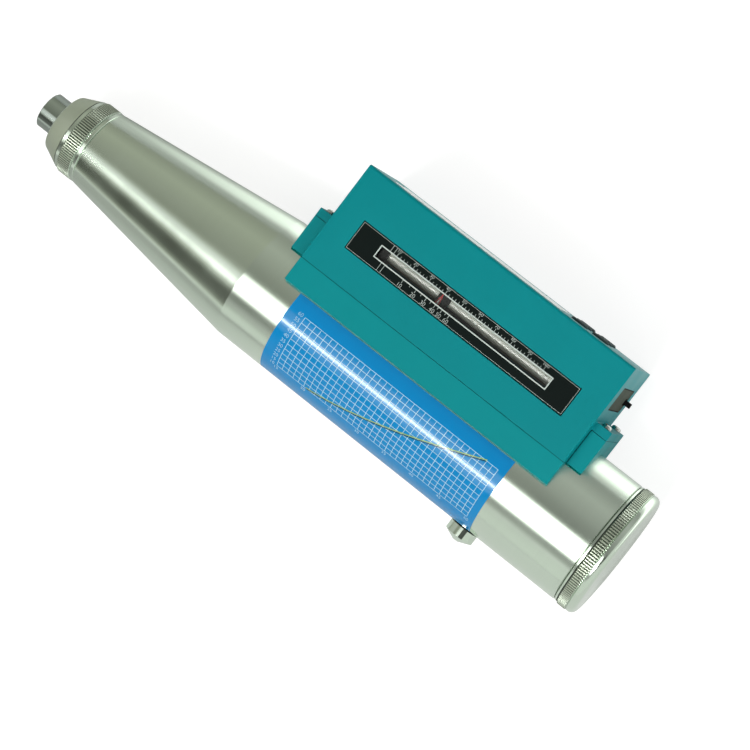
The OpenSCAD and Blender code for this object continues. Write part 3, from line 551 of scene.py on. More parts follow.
@dataclass(frozen=True)
class Axis:
    """The hammer's axis in the frame, and the nose plane that lengths are measured from."""

    nose: float
    y: float
    z: float

    @classmethod
    def from_frame(cls) -> "Axis":
        """Reads the axis off the plunger and the nose off the front cap."""
        low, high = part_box("plunger")
        return cls(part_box("front_cap")[0].x, (low.y + high.y) / 2, (low.z + high.z) / 2)

    def point(self, x: float, y: float, z: float) -> Vector:
        """A point x mm behind the nose, y mm towards the case's top and z mm up, in metres."""
        return Vector((self.nose + x * MM, self.y + y * MM, self.z + z * MM))

    def around(self, x: float, radius: float, angle: float) -> Vector:
        """A point x mm behind the nose, on a circle round the axis, by its angle from straight up."""
        turn = math.radians(angle)
        return self.point(x, radius * math.sin(turn), radius * math.cos(turn))

    def own(self, centre: Sequence[float], way: Vector, zero: Vector, quarter: Vector) -> Place:
        """Gives the places round another axis than the hammer's.

        Args:
            centre: where lengths along it count from, in millimetres.
            way: the way that they run.
            zero: where 0 degrees points.
            quarter: where 90 degrees points.

        Returns:
            A function of millimetres along that axis, a radius and degrees round it.
        """
        def place(along: float, radius: float, degrees: float) -> Vector:
            """A point so far along the axis, so far from it and so far round it."""
            turn = math.radians(degrees)
            across, aside = radius * math.cos(turn), radius * math.sin(turn)
            return self.point(*[c + w * along + z * across + q * aside
                                for c, w, z, q in zip(centre, way, zero, quarter)])

        return place

    def place_of(self, node: str) -> tuple[Vector, Vector]:
        """A node's lowest and highest corner in millimetres from the nose and the axis."""
        start = Vector((self.nose, self.y, self.z))
        low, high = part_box(node)
        return (low - start) / MM, (high - start) / MM


def mesh_piece(name: str, points: Iterable[Vector], faces: Iterable[Sequence[int]],
               sharp_degrees: float = 32.0) -> Piece:
    """Makes a mesh object with smooth faces and sharp edges.

    Args:
        name: the piece's name.
        points: vertices in metres.
        faces: vertex numbers of each face.
        sharp_degrees: edges that turn by more than this stay sharp.

    Returns:
        The object, linked to the scene.
    """
    mesh = bpy.data.meshes.new(name)
    mesh.from_pydata([tuple(p) for p in points], [], [tuple(f) for f in faces])
    mesh.validate()
    shell = bmesh.new()
    shell.from_mesh(mesh)
    bmesh.ops.recalc_face_normals(shell, faces=shell.faces)
    shell.to_mesh(mesh)
    shell.free()
    piece = bpy.data.objects.new(name, mesh)
    bpy.context.scene.collection.objects.link(piece)
    return smooth(piece, sharp_degrees)


def smooth(piece: Piece, sharp_degrees: float) -> Piece:
    """Smooths a piece's faces.

    Args:
        piece: the piece.
        sharp_degrees: edges that turn by more than this stay sharp.

    Returns:
        The piece.
    """
    for polygon in piece.data.polygons:
        polygon.use_smooth = True
    piece.data.set_sharp_from_angle(angle=math.radians(sharp_degrees))
    return piece


def settle(piece: Piece, body: str, slot: str, *nodes: str) -> Piece:
    """Ties a piece to its body, and has it stand for CAD nodes.

    Args:
        piece: the piece.
        body: the CAD body that it moves with.
        slot: the record's material slot; not used.
        nodes: the CAD nodes that it replaces, if any.

    Returns:
        The piece.
    """
    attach(piece, body)
    if nodes:
        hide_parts(*nodes)
    return piece


def apply_modifiers(piece: Piece) -> Piece:
    """Turns a piece's modifiers into its mesh.

    Args:
        piece: the piece.

    Returns:
        The piece, with no modifiers left.
    """
    seen = piece.evaluated_get(bpy.context.evaluated_depsgraph_get())
    mesh = bpy.data.meshes.new_from_object(seen)
    piece.modifiers.clear()
    piece.data = mesh
    return piece


def cut(piece: Piece, tools: Sequence[Piece], sharp_degrees: float) -> Piece:
    """Cuts tools out of a piece and removes them.

    Args:
        piece: the piece to cut.
        tools: closed meshes.
        sharp_degrees: edges that turn by more than this stay sharp afterwards.

    Returns:
        The piece.
    """
    for tool in tools:
        hole = piece.modifiers.new("hole", "BOOLEAN")
        hole.operation = "DIFFERENCE"
        hole.solver = "EXACT"
        hole.object = tool
    apply_modifiers(piece)
    for tool in tools:
        bpy.data.objects.remove(tool)
    return smooth(piece, sharp_degrees)


def prism(name: str, outline: Sequence[Vector], rise: Vector) -> Piece:
    """Raises a flat outline into a closed solid.

    Args:
        name: the object's name.
        outline: the corners in metres.
        rise: from the outline to its copy at the other end.

    Returns:
        The object.
    """
    count = len(outline)
    points = list(outline) + [corner + rise for corner in outline]
    faces = [tuple(range(count)), tuple(range(2 * count - 1, count - 1, -1))]
    faces += [(i, (i + 1) % count, (i + 1) % count + count, i + count) for i in range(count)]
    return mesh_piece(name, points, faces)


def rod_tool(centre: Vector, direction: Vector, radius_mm: float, sides: int = 48) -> Piece:
    """A round drill: a closed cylinder from centre along direction.

    Args:
        centre: the middle of its first end, in metres.
        direction: from its first end to its last, in metres.
        radius_mm: its radius.
        sides: its sides.

    Returns:
        The object.
    """
    across = direction.orthogonal().normalized()
    other = direction.normalized().cross(across)
    turns = [2 * math.pi * i / sides for i in range(sides)]
    ring = [centre + (across * math.cos(t) + other * math.sin(t)) * radius_mm * MM for t in turns]
    return prism("drill", ring, direction)


class Patch(IntEnum):
    """The parts of a turned piece that have a finish of their own, in the order of its finishes."""

    TURNED = 0
    # GROOVE takes the darker finish: painted shade in the grooves, with a little oxide.
    GROOVE = 1
    SATIN = 2


@dataclass(frozen=True)
class Station:
    """One ring of a turned piece: its place along the axis and its radius.

    Its groove is the depth of the knurl there, and its patch runs from there to the next ring.
    """

    along: float
    radius: float
    groove: float = 0.0
    patch: Patch = Patch.TURNED


# The crest of a knurl's tooth starts and ends at the first two shares of its pitch, and its groove is
# deepest at the last.
TOOTH = (0.0, 0.4, 0.7)


def rings(*places: Pair, patch: Patch = Patch.TURNED) -> list[Station]:
    """Gives plain stations, each at millimetres along the axis and a radius, all of one patch."""
    return [Station(along, radius, patch=patch) for along, radius in places]


def turned_piece(name: str, place: Place, stations: Sequence[Station], sides: int = 96,
                 teeth: int = 0) -> Piece:
    """Turns a profile round an axis, with straight knurling where a station has grooves.

    Args:
        name: the piece's name.
        place: turns millimetres along the axis, a radius and degrees round the axis into a point.
        stations: the profile in order, closed from its last station to its first. A radius of 0 is a pole.
        sides: its sides, where it has no teeth.
        teeth: teeth of the knurl, each with a flat crest and a V groove.

    Returns:
        The object.
    """
    turns = [360 * i / sides for i in range(sides)]
    if teeth:
        turns = [360 * (i + share) / teeth for i in range(teeth) for share in TOOTH]
    count = len(turns)
    points: list[Vector] = []
    loops: list[list[int]] = []
    for station in stations:
        start = len(points)
        if station.radius == 0:
            points.append(place(station.along, 0.0, 0.0))
            loops.append([start] * count)
            continue
        for i, turn in enumerate(turns):
            depth = station.groove if i % len(TOOTH) == 2 else 0.0
            points.append(place(station.along, station.radius - depth, turn))
        loops.append(list(range(start, start + count)))
    faces = []
    patches = []
    for i, (loop, following) in enumerate(zip(loops, loops[1:] + loops[:1])):
        station, beyond = stations[i], stations[(i + 1) % len(stations)]
        for k in range(count):
            j = (k + 1) % count
            corners = list(dict.fromkeys([loop[k], loop[j], following[j], following[k]]))
            if len(corners) > 2:
                in_groove = station.groove and beyond.groove and k % len(TOOTH) != 0
                faces.append(corners)
                patches.append(Patch.GROOVE if in_groove else station.patch)
    piece = mesh_piece(name, points, faces)
    piece.data.polygons.foreach_set("material_index", patches)
    return piece


@dataclass
class Studio:
    """A pale floor and a soft studio, and the camera at the photograph's angle."""

    axis: Axis
    finishes: Finishes
    camera_mm: Point = (326.42, 82.40, 919.89)
    aim_mm: Point = (155.501, -2.408, 0.0)
    roll_degrees: float = 37.3475
    lens_mm: float = 121.0
    floor_half_m: float = 3.0
    fill_energy: float = 1.3
    fill_degrees: float = 100.0
    fill_way: Point = (0.93, 0.1, 0.36)
    wall_way: Point = (0.654, -0.405, -0.639)
    wall_from: Pair = (-0.02, 0.06)
    wall: Colour = (0.7, 0.72, 0.69, 1.0)
    backdrop: Colour = (1.0, 1.0, 1.0, 1.0)

    def build(self) -> None:
        """Builds the camera, the floor, the lamp, the world and the view settings."""
        self.build_camera()
        self.build_floor()
        self.build_fill()
        self.build_world()
        bpy.context.scene.view_settings.view_transform = "Standard"

    def build_camera(self) -> None:
        """Sets the camera where it saw the object, turned about its line of sight."""
        place = self.axis.point(*self.camera_mm)
        back = (place - self.axis.point(*self.aim_mm)).normalized()
        side = Vector((0, 1, 0)).cross(back).normalized()
        up = back.cross(side)
        roll = math.radians(self.roll_degrees)
        right = math.cos(roll) * side + math.sin(roll) * up
        top = -math.sin(roll) * side + math.cos(roll) * up
        data = bpy.data.cameras.new("camera")
        data.lens = self.lens_mm
        data.clip_start = 0.05
        data.clip_end = 20.0
        camera = bpy.data.objects.new("camera", data)
        turn = Matrix((right, top, back)).transposed().to_4x4()
        camera.matrix_world = Matrix.Translation(place) @ turn
        bpy.context.scene.collection.objects.link(camera)
        bpy.context.scene.camera = camera

    def build_floor(self) -> None:
        """Lays the paper floor."""
        half = self.floor_half_m
        corners = [Vector((x, y, 0)) for x, y in ((-half, -half), (half, -half), (half, half), (-half, half))]
        floor = mesh_piece("floor", corners, [(0, 1, 2, 3)])
        self.finishes.dress(floor, "white_paper_floor")

    def build_fill(self) -> None:
        """Adds a broad soft lamp off the rear end, which polished faces don't show."""
        data = bpy.data.lights.new("soft_fill", "SUN")
        data.energy = self.fill_energy
        data.angle = math.radians(self.fill_degrees)
        lamp = bpy.data.objects.new("soft_fill", data)
        lamp.visible_glossy = False
        lamp.rotation_euler = Vector(self.fill_way).to_track_quat("Z", "Y").to_euler()
        bpy.context.scene.collection.objects.link(lamp)

    def build_world(self) -> None:
        """Lights the object from a long softbox over its lower side and a pale room.

        The room is drawn by direction: the angle from straight up towards +Y picks the brightness, and
        each stretch along X has its own drawing of it.
        """
        world = bpy.data.worlds.new("studio")
        bpy.context.scene.world = world
        world.use_nodes = True
        tree = world.node_tree
        tree.nodes.clear()
        direction = add_node(tree, "TexCoord").outputs["Generated"]
        way = add_node(tree, "SeparateXYZ", {0: direction}).outputs
        turn = add_node(tree, "Math", {0: way["Y"], 1: way["Z"]}, operation="ARCTAN2")
        angle = add_node(tree, "Math", {0: turn.outputs[0]}, operation="DEGREES").outputs[0]
        nose, tube, rear, end, lamp = [
            drawn(tree, angle, stops, tint, LAMP_TINT) for stops, tint in
            ((NOSE_ROOM, NOSE_TINT), (TUBE_ROOM, ROOM_TINT), (REAR_ROOM, ROOM_TINT),
             (END_ROOM, NOSE_TINT), (LAMP, LAMP_TINT))]
        at_tube, at_rear, lamp_from, lamp_to, at_end = [
            add_node(tree, "MapRange", {"Value": way["X"], "From Min": start, "From Max": stop},
                     interpolation_type="SMOOTHSTEP").outputs[0]
            for start, stop in (TUBE_FROM, REAR_FROM, LAMP_FROM, LAMP_TO, END_FROM)]
        lit = add_node(tree, "Math", {0: lamp_from, 1: lamp_to}, operation="MULTIPLY").outputs[0]
        wall_side = add_node(tree, "VectorMath", {0: direction, 1: self.wall_way}, operation="DOT_PRODUCT")
        at_wall = add_node(tree, "MapRange", {"Value": wall_side.outputs["Value"],
                                              "From Min": self.wall_from[0], "From Max": self.wall_from[1]},
                           interpolation_type="SMOOTHSTEP").outputs[0]
        # What looks straight at the room, or at it through something clear, sees a white backdrop. Metal
        # shows the pale room itself.
        path = add_node(tree, "LightPath").outputs
        seen = add_node(tree, "Math", {0: path["Is Camera Ray"], 1: path["Is Transmission Ray"]},
                        operation="ADD", use_clamp=True).outputs[0]
        colour = nose
        for share, other, blend in ((at_tube, tube, "MIX"), (at_rear, rear, "MIX"), (lit, lamp, "ADD"),
                                    (at_end, end, "MIX"), (at_wall, self.wall, "MIX"),
                                    (seen, self.backdrop, "MIX")):
            colour = add_node(tree, "MixRGB", {"Fac": share, "Color1": colour, "Color2": other},
                              blend_type=blend).outputs[0]
        light = add_node(tree, "Background", {"Color": colour, "Strength": 1.0})
        add_node(tree, "OutputWorld", {"Surface": light.outputs[0]})


@dataclass
class Turned(ABC):
    """A piece turned from a profile, which stands for a CAD node."""

    axis: Axis
    sides: int = 96
    teeth: int = 0
    name: ClassVar[str]
    node: ClassVar[str]
    body: ClassVar[str] = "housing"
    record_slot: ClassVar[str] = "alu_turned"

    @abstractmethod
    def profile(self) -> list[Station]:
        """Gives the profile, closed from its last station to its first."""

    def place(self) -> Place:
        """The places round the axis that the piece is turned about, mostly the hammer's own."""
        return self.axis.around

    def machined(self, piece: Piece) -> Piece:
        """Gives the piece with all that can't be turned cut into it, which is mostly nothing."""
        return piece

    def build(self) -> Piece:
        """Turns the piece.

        Returns:
            The piece, tied to its body.
        """
        piece = turned_piece(self.name, self.place(), self.profile(), self.sides, self.teeth)
        return settle(self.machined(piece), self.body, self.record_slot, self.node)


@dataclass
class KnurledCap(Turned):
    """A turned cap with a straight knurl round its grip."""

    knurl_x: float = 0.0
    knurl_len: float = 0.0
    knurl_depth: float = 0.42
    knurl_slope: float = 0.3
    undercut: float = 0.05

    def knurl(self, grip: float) -> list[Station]:
        """Gives the stations of the knurl, from the groove before it to the one behind it.

        Args:
            grip: the radius of its crests.

        Returns:
            Four stations.
        """
        root = grip - self.knurl_depth - self.undercut
        stop = self.knurl_x + self.knurl_len
        return [Station(self.knurl_x, root, patch=Patch.GROOVE),
                Station(self.knurl_x + self.knurl_slope, grip, self.knurl_depth, Patch.SATIN),
                Station(stop - self.knurl_slope, grip, self.knurl_depth),
                Station(stop, root, patch=Patch.GROOVE)]


@dataclass
class FrontCap(KnurledCap):
    """The turned cap at the nose, with a straight-knurled grip."""

    name = "front_cap_knurled"
    node = "front_cap"
    teeth: int = 100
    knurl_x: float = 9.3
    knurl_len: float = 6.1
    nose_r: float = 12.05
    nose_len: float = 7.5
    nose_base_r: float = 15.3
    nose_edge: float = 0.25
    groove_depth: float = 0.35
    groove_w: float = 0.3
    groove_edge: float = 0.05
    cone_fall: float = 0.02
    step: float = 0.2
    knurl_gap: float = 0.1
    rear_from: float = 0.15
    rear_to: float = 0.5
    rear_drop: float = 0.12
    rear_edge: float = 0.3
    end_drop: float = 0.4
    bore_r: float = 8.2
    bore_edge: float = 0.4
    chamber_x: float = 6.2
    chamber_r: float = 13.4

    def profile(self) -> list[Station]:
        """Gives the cap's profile: the nose, its groove, the grip and the bore.

        Returns:
            The stations in order.
        """
        end, grip, _ = self.axis.place_of(self.node)[1]
        knurl = self.knurl(grip)
        stop, root = knurl[-1].along, knurl[-1].radius
        groove_end = self.nose_len + self.groove_w
        bottom = self.nose_base_r - self.groove_depth
        shoulder = self.nose_base_r + self.step
        rear = grip - self.rear_drop
        return [
            *rings((0.0, self.bore_r + self.bore_edge), (0.0, self.nose_r - self.nose_edge)),
            *rings((self.nose_edge, self.nose_r), patch=Patch.SATIN),
            *rings((self.nose_len - self.groove_edge, self.nose_base_r - self.cone_fall),
                   (self.nose_len, bottom), (groove_end, bottom), patch=Patch.GROOVE),
            *rings((groove_end + self.groove_edge, shoulder), (self.knurl_x - self.knurl_gap, shoulder)),
            *knurl,
            *rings((stop + self.rear_from, root), (stop + self.rear_to, rear), (end - self.rear_edge, rear),
                   (end, grip - self.end_drop), (end, self.chamber_r), (self.chamber_x, self.chamber_r),
                   (self.chamber_x, self.bore_r), (self.bore_edge, self.bore_r)),
        ]


@dataclass
class RearCap(KnurledCap):
    """The cap at the rear, with a fine straight knurl and a rounded rim."""

    name = "rear_cap_knurled"
    node = "rear_cap"
    teeth: int = 150
    knurl_x: float = 260.75
    knurl_len: float = 4.1
    seam_x: float = 0.05
    seam_w: float = 0.3
    seam_depth: float = 1.2
    collar_edge: float = 0.15
    collar_drop: float = 0.5
    neck_len: float = 0.45
    neck_edge: float = 0.05
    neck_drop: float = 0.9
    rim_from: float = 0.1
    rim_to: float = 0.35
    rim_drop: float = 0.15
    rim_round: float = 2.5
    rim_steps: int = 10
    thread_len: float = 6.0
    bore_r: float = 23.4
    ring_r: float = 20.0
    hole_r: float = 3.05
    hole_len: float = 5.0

    def profile(self) -> list[Station]:
        """Gives the cap's profile: the seam at the tube, the grip, the rim and the trip screw's hole.

        Returns:
            The stations in order.
        """
        end, grip, _ = self.axis.place_of(self.node)[1]
        seat = self.axis.place_of("housing")[1].x
        thread = seat - self.thread_len
        seam, seam_end = seat + self.seam_x, seat + self.seam_x + self.seam_w
        bottom, collar, rim = grip - self.seam_depth, grip - self.collar_drop, grip - self.rim_drop
        neck = self.knurl_x - self.neck_len
        hole = seat + self.hole_len
        knurl = self.knurl(grip)
        stop, root = knurl[-1].along, knurl[-1].radius
        turns = [math.radians(90 * i / self.rim_steps) for i in range(self.rim_steps + 1)]
        corner = [(end - self.rim_round * (1 - math.sin(turn)), rim - self.rim_round * (1 - math.cos(turn)))
                  for turn in turns]
        return [
            *rings((thread, self.ring_r), (thread, self.bore_r)),
            *rings((seam, self.bore_r), (seam, bottom), (seam_end, bottom), patch=Patch.GROOVE),
            *rings((seam_end, collar - self.collar_edge), (seam_end + self.collar_edge, collar)),
            *rings((neck, collar), (neck + self.neck_edge, grip - self.neck_drop), patch=Patch.GROOVE),
            *knurl,
            *rings((stop + self.rim_from, root), (stop + self.rim_to, rim), *corner, (end, 0.0), (hole, 0.0),
                   (hole, self.hole_r), (seat, self.hole_r), (seat, self.ring_r)),
        ]


@dataclass
class Plunger(Turned):
    """The plunger: a ground bar with a rounded striking end and a hole for the guide rod."""

    name = "plunger_ground"
    node = "plunger"
    body = "carriage"
    record_slot = "steel_ground"
    radius: float = 7.4
    tip_r: float = 25.0
    edge: float = 0.35
    rear_edge: float = 0.3
    hole_r: float = 4.1
    spring_gap: float = 0.2

    def profile(self) -> list[Station]:
        """Gives the plunger's profile.

        Returns:
            The stations in order.
        """
        low, high = self.axis.place_of(self.node)
        hole_x = self.axis.place_of("buffer_spring")[0].x - self.spring_gap
        reaches = [(self.radius - self.edge) * share for share in (0.25, 0.5, 0.75, 1.0)]
        tip = [(low.x + self.tip_r - math.sqrt(self.tip_r ** 2 - reach ** 2), reach) for reach in reaches]
        return rings((low.x, 0.0), *tip, (tip[-1][0] + self.edge, self.radius),
                     (high.x - self.rear_edge, self.radius), (high.x, self.radius - self.rear_edge),
                     (high.x, self.hole_r), (hole_x, self.hole_r), (hole_x, 0.0))


@dataclass
class PushButton(Turned):
    """The push button: a turned cup with a shallow domed end, pressed towards the hammer's axis."""

    name = "push_button_turned"
    node = "push_button"
    body = "button"
    sides: int = 64
    cup_r: float = 4.9
    end_t: float = 2.3
    edge: float = 0.15
    rim_back: float = 2.15
    dome: Stops = ((0.0, 0.0), (0.12, 1.3), (0.75, 2.8), (1.35, 4.2), (1.9, 5.4))

    def place(self) -> Place:
        """The places round the button's axis, which runs out along -Y."""
        low, high = self.axis.place_of(self.node)
        return self.axis.own((low + high) / 2 * (ALONG + OUT), -UP, ALONG, OUT)

    def profile(self) -> list[Station]:
        """Gives the button's profile, from the middle of its end to the bottom of its cup.

        Returns:
            The stations in order.
        """
        low, high = self.axis.place_of(self.node)
        radius = (high.x - low.x) / 2
        end, mouth = -low.y, -high.y
        bottom = end - self.end_t
        return rings(*[(end - back, reach) for back, reach in self.dome], (end - self.rim_back, radius),
                     (mouth + self.edge, radius), (mouth, radius - self.edge), (mouth, self.cup_r),
                     (bottom, self.cup_r), (bottom, 0.0))


@dataclass
class PointerRod(Turned):
    """The drawn rod that the pointer slides on."""

    name = "pointer_rod_drawn"
    node = "pointer_rod"
    record_slot = "steel_ground"
    sides: int = 64
    edge: float = 0.2

    def place(self) -> Place:
        """The places round the rod's own axis."""
        low, high = self.axis.place_of(self.node)
        return self.axis.own((low + high) / 2 * (UP + OUT), ALONG, OUT, UP)

    def profile(self) -> list[Station]:
        """Gives the rod's profile.

        Returns:
            The stations in order.
        """
        low, high = self.axis.place_of(self.node)
        radius = (high.z - low.z) / 2
        return rings((low.x, 0.0), (low.x, radius - self.edge), (low.x + self.edge, radius),
                     (high.x - self.edge, radius), (high.x, radius - self.edge), (high.x, 0.0))


@dataclass
class Tube(Turned):
    """The tapered and straight tube in one piece, with its slot and its holes."""

    name = "tapered_tube"
    node = "housing"
    sides: int = 216
    neck_x: float = 6.4
    neck_r: float = 13.4
    neck_edge: float = 0.3
    neck_bore: float = 11.5
    cone_x: float = 17.5
    cone_front_r: float = 16.15
    cone_len: float = 80.9
    wall: float = 2.6
    cone_wall: float = 3.2
    sleeve_end: float = 19.6
    edge: float = 0.35
    slot_angle: float = 61.0
    slot_w: float = 3.0
    slot_ends: Pair = (134.0, 215.3)
    button_hole_r: float = 6.6
    screw_hole_r: float = 1.25
    screw_places: Pair = (119.0, 227.0)
    tool_from: float = 15.0
    tool_len: float = 20.0
    sharp_degrees: float = 6.0

    def profile(self) -> list[Station]:
        """Gives the tube's profile: the neck, the cone, the straight part and the bore.

        Returns:
            The stations in order.
        """
        low, high = self.axis.place_of(self.node)
        end = high.x
        radius = (high.z - low.z) / 2
        bore = radius - self.wall
        corner = self.cone_x + self.cone_len
        return rings((self.neck_x, self.neck_bore), (self.neck_x, self.neck_r - self.neck_edge),
                     (self.neck_x + self.neck_edge, self.neck_r), (self.cone_x, self.neck_r),
                     (self.cone_x, self.cone_front_r - self.edge),
                     (self.cone_x + self.edge, self.cone_front_r), (corner, radius),
                     (end - self.edge, radius), (end, radius - self.edge), (end, bore), (corner, bore),
                     (self.sleeve_end, self.cone_front_r - self.cone_wall),
                     (self.sleeve_end, self.neck_bore))

    def machined(self, piece: Piece) -> Piece:
        """Cuts the leaf's slot, the button's hole and the screw holes.

        Args:
            piece: the turned tube.

        Returns:
            The tube.
        """
        turn = math.radians(self.slot_angle)
        out = (UP * math.sin(turn) + OUT * math.cos(turn)) * self.tool_from * MM
        side = (UP * math.cos(turn) - OUT * math.sin(turn)) * self.slot_w / 2 * MM
        first, last = [self.axis.point(x, 0, 0) + out for x in self.slot_ends]
        slot = prism("slot_tool", [first - side, first + side, last + side, last - side], out)
        low, high = self.axis.place_of("push_button")
        down = UP * (-self.tool_len * MM)
        hole = rod_tool(self.axis.point((low.x + high.x) / 2, -self.tool_from, 0), down, self.button_hole_r)
        screws = [rod_tool(self.axis.point(x, self.tool_from, 0), -down, self.screw_hole_r)
                  for x in self.screw_places]
        return cut(piece, [slot, hole, *screws], self.sharp_degrees)


@dataclass
class BevelledShell:
    """A painted part of the case: the CAD shell with its sharp edges broken."""

    node: str
    record_slot: str
    edge_mm: float = 0.18
    sharp_degrees: float = 50.0
    join_mm: float = 0.002
    flat_degrees: float = 0.5

    def build(self) -> Piece:
        """Copies the CAD shell, joins its facets into whole faces and bevels its edges.

        Returns:
            The shell, which stands for its CAD node.
        """
        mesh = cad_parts[self.node].data.copy()
        shell = bmesh.new()
        shell.from_mesh(mesh)
        bmesh.ops.remove_doubles(shell, verts=shell.verts, dist=self.join_mm * MM)
        bmesh.ops.dissolve_limit(shell, angle_limit=math.radians(self.flat_degrees), verts=shell.verts,
                                 edges=shell.edges)
        shell.to_mesh(mesh)
        shell.free()
        if "custom_normal" in mesh.attributes:
            mesh.attributes.remove(mesh.attributes["custom_normal"])
        for polygon in mesh.polygons:
            polygon.use_smooth = True
        piece = bpy.data.objects.new(f"{self.node}_shell", mesh)
        bpy.context.scene.collection.objects.link(piece)
        bevel = piece.modifiers.new("broken_edges", "BEVEL")
        bevel.width = self.edge_mm * MM
        bevel.segments = 2
        bevel.limit_method = "ANGLE"
        bevel.angle_limit = math.radians(self.sharp_degrees)
        bevel.use_clamp_overlap = False
        bevel.miter_outer = "MITER_ARC"
        bevel.harden_normals = True
        return settle(apply_modifiers(piece), "housing", self.record_slot, self.node)


@dataclass
class ThinLayer:
    """Ink or a seal on a surface: lines and numbers, laid out in millimetres and raised a hair over it."""

    name: str
    place: Place
    thickness: float = 0.03
    points: list[Vector] = field(default_factory=list)
    faces: list[tuple[int, ...]] = field(default_factory=list)

    def line(self, path: Sequence[Pair], width: float, step: float = 2.0) -> None:
        """Draws a line of even width.

        Args:
            path: its corners, two or more, on the surface.
            width: its width.
            step: the longest straight piece that it is laid in.
        """
        dots = [Vector(path[0])]
        for end in path[1:]:
            start = dots[-1]
            way = Vector(end) - start
            count = max(1, math.ceil(way.length / step))
            dots += [start + way * (i + 1) / count for i in range(count)]
        first = len(self.points)
        for i, dot in enumerate(dots):
            way = (dots[min(i + 1, len(dots) - 1)] - dots[max(i - 1, 0)]).normalized()
            side = Vector((-way.y, way.x)) * width / 2
            for offset, share in ((side, 0), (side, 1), (-side, 1), (-side, 0)):
                height = self.thickness * share
                self.points.append(self.place(dot.x + offset.x, dot.y + offset.y, height))
        last = len(self.points) - 4
        for ring in range(first, last, 4):
            pairs = [(ring + k, ring + (k + 1) % 4) for k in range(4)]
            self.faces += [(a, b, b + 4, a + 4) for a, b in pairs]
        self.faces += [tuple(range(first + 3, first - 1, -1)), tuple(range(last, last + 4))]

    def frame(self, low: Pair, high: Pair, width: float) -> None:
        """Draws a rectangle.

        Args:
            low: its lower left corner, in the middle of the line.
            high: its upper right corner.
            width: the width of the line.
        """
        half = width / 2
        for v in (low[1], high[1]):
            self.line([(low[0] - half, v), (high[0] + half, v)], width)
        for u in (low[0], high[0]):
            self.line([(u, low[1] + half), (u, high[1] - half)], width)

    def number(self, text: str, centre: Pair, height: float) -> None:
        """Prints a plain number.

        Args:
            text: its digits.
            centre: the middle of the number.
            height: the height of a digit.
        """
        curve = bpy.data.curves.new("digits", "FONT")
        curve.body = text
        # The depth only tells the digits' front from their back, and the strokes are a little thinner
        # than the font's.
        curve.extrude = 0.5
        curve.offset = -0.015
        curve.resolution_u = 3
        holder = bpy.data.objects.new("digits", curve)
        bpy.context.scene.collection.objects.link(holder)
        bpy.context.view_layer.update()
        mesh = bpy.data.meshes.new_from_object(holder.evaluated_get(bpy.context.evaluated_depsgraph_get()))
        corners = [vertex.co.copy() for vertex in mesh.vertices]
        low = Vector((min(c.x for c in corners), min(c.y for c in corners)))
        high = Vector((max(c.x for c in corners), max(c.y for c in corners)))
        middle = (low + high) / 2
        size = height / (high.y - low.y)
        first = len(self.points)
        for corner in corners:
            self.points.append(self.place(centre[0] + (corner.x - middle.x) * size,
                                          centre[1] + (corner.y - middle.y) * size,
                                          self.thickness if corner.z > 0 else 0.0))
        self.faces += [tuple(first + i for i in polygon.vertices) for polygon in mesh.polygons]
        bpy.data.objects.remove(holder)
        bpy.data.curves.remove(curve)
        bpy.data.meshes.remove(mesh)

    def build(self, record_slot: str) -> Piece:
        """Makes the layer's mesh, riding on the housing."""
        return settle(mesh_piece(self.name, self.points, self.faces), "housing", record_slot)


@dataclass
class ChartPrint:
    """The conversion chart on the label: a grid, its numbers and two curves."""

    axis: Axis
    columns: tuple[int, int] = (15, 50)
    rows: tuple[int, int] = (10, 60)
    numbered: int = 5
    grid_x: Pair = (127.0, 217.0)
    grid_angle: Pair = (-51.5, 1.5)
    column_gap: float = 1.5
    row_gap: float = 2.1
    curve_x: Pair = (140.9, 211.8)
    curve_angle: Pair = (-51.8, 1.1)
    curve_bend: float = 1.2
    curve_steps: int = 48
    curve_w: float = 0.32
    curve_t: float = 0.05
    lime_shift: float = 0.55
    label_r: float = 26.3
    line_w: float = 0.2
    digit_h: float = 1.5

    def on_label(self, u: float, v: float, height: float) -> Vector:
        """A point u mm behind the nose and v mm round the label, from straight up."""
        return self.axis.around(u, self.label_r + height, math.degrees(v / self.label_r))

    def build(self, finishes: Finishes) -> list[Piece]:
        """Prints the chart.

        Args:
            finishes: the object's finishes.

        Returns:
            One layer for each ink.
        """
        left, right = self.grid_x
        bottom, top = [math.radians(angle) * self.label_r for angle in self.grid_angle]
        grid = ThinLayer("chart_grid", self.on_label)
        first, last = self.columns
        for value in range(first, last + 1):
            x = left + (right - left) * (value - first) / (last - first)
            grid.line([(x, bottom), (x, top)], self.line_w)
            if value % self.numbered == 0:
                grid.number(str(value), (x, bottom - self.column_gap), self.digit_h)
        first, last = self.rows
        for value in range(first, last + 1, self.numbered):
            v = bottom + (top - bottom) * (value - first) / (last - first)
            grid.line([(left, v), (right, v)], self.line_w)
            grid.number(str(value), (left - self.row_gap, v), self.digit_h)
        pieces = [finishes.dress(grid.build("label_blue"), "white_ink")]
        start_x, end_x = self.curve_x
        start, end = self.curve_angle
        shares = [i / self.curve_steps for i in range(self.curve_steps + 1)]
        for ink, shift in ((Ink.BLACK, 0.0), (Ink.LIME, self.lime_shift)):
            colour = ink.name.lower()
            curve = ThinLayer(f"chart_curve_{colour}", self.on_label, self.curve_t)
            angles = [start + (end - start) * share ** self.curve_bend for share in shares]
            curve.line([(start_x + (end_x - start_x) * share, math.radians(angle) * self.label_r + shift)
                        for share, angle in zip(shares, angles)], self.curve_w)
            pieces.append(finishes.dress(curve.build("label_blue"), f"{colour}_ink"))
        return pieces


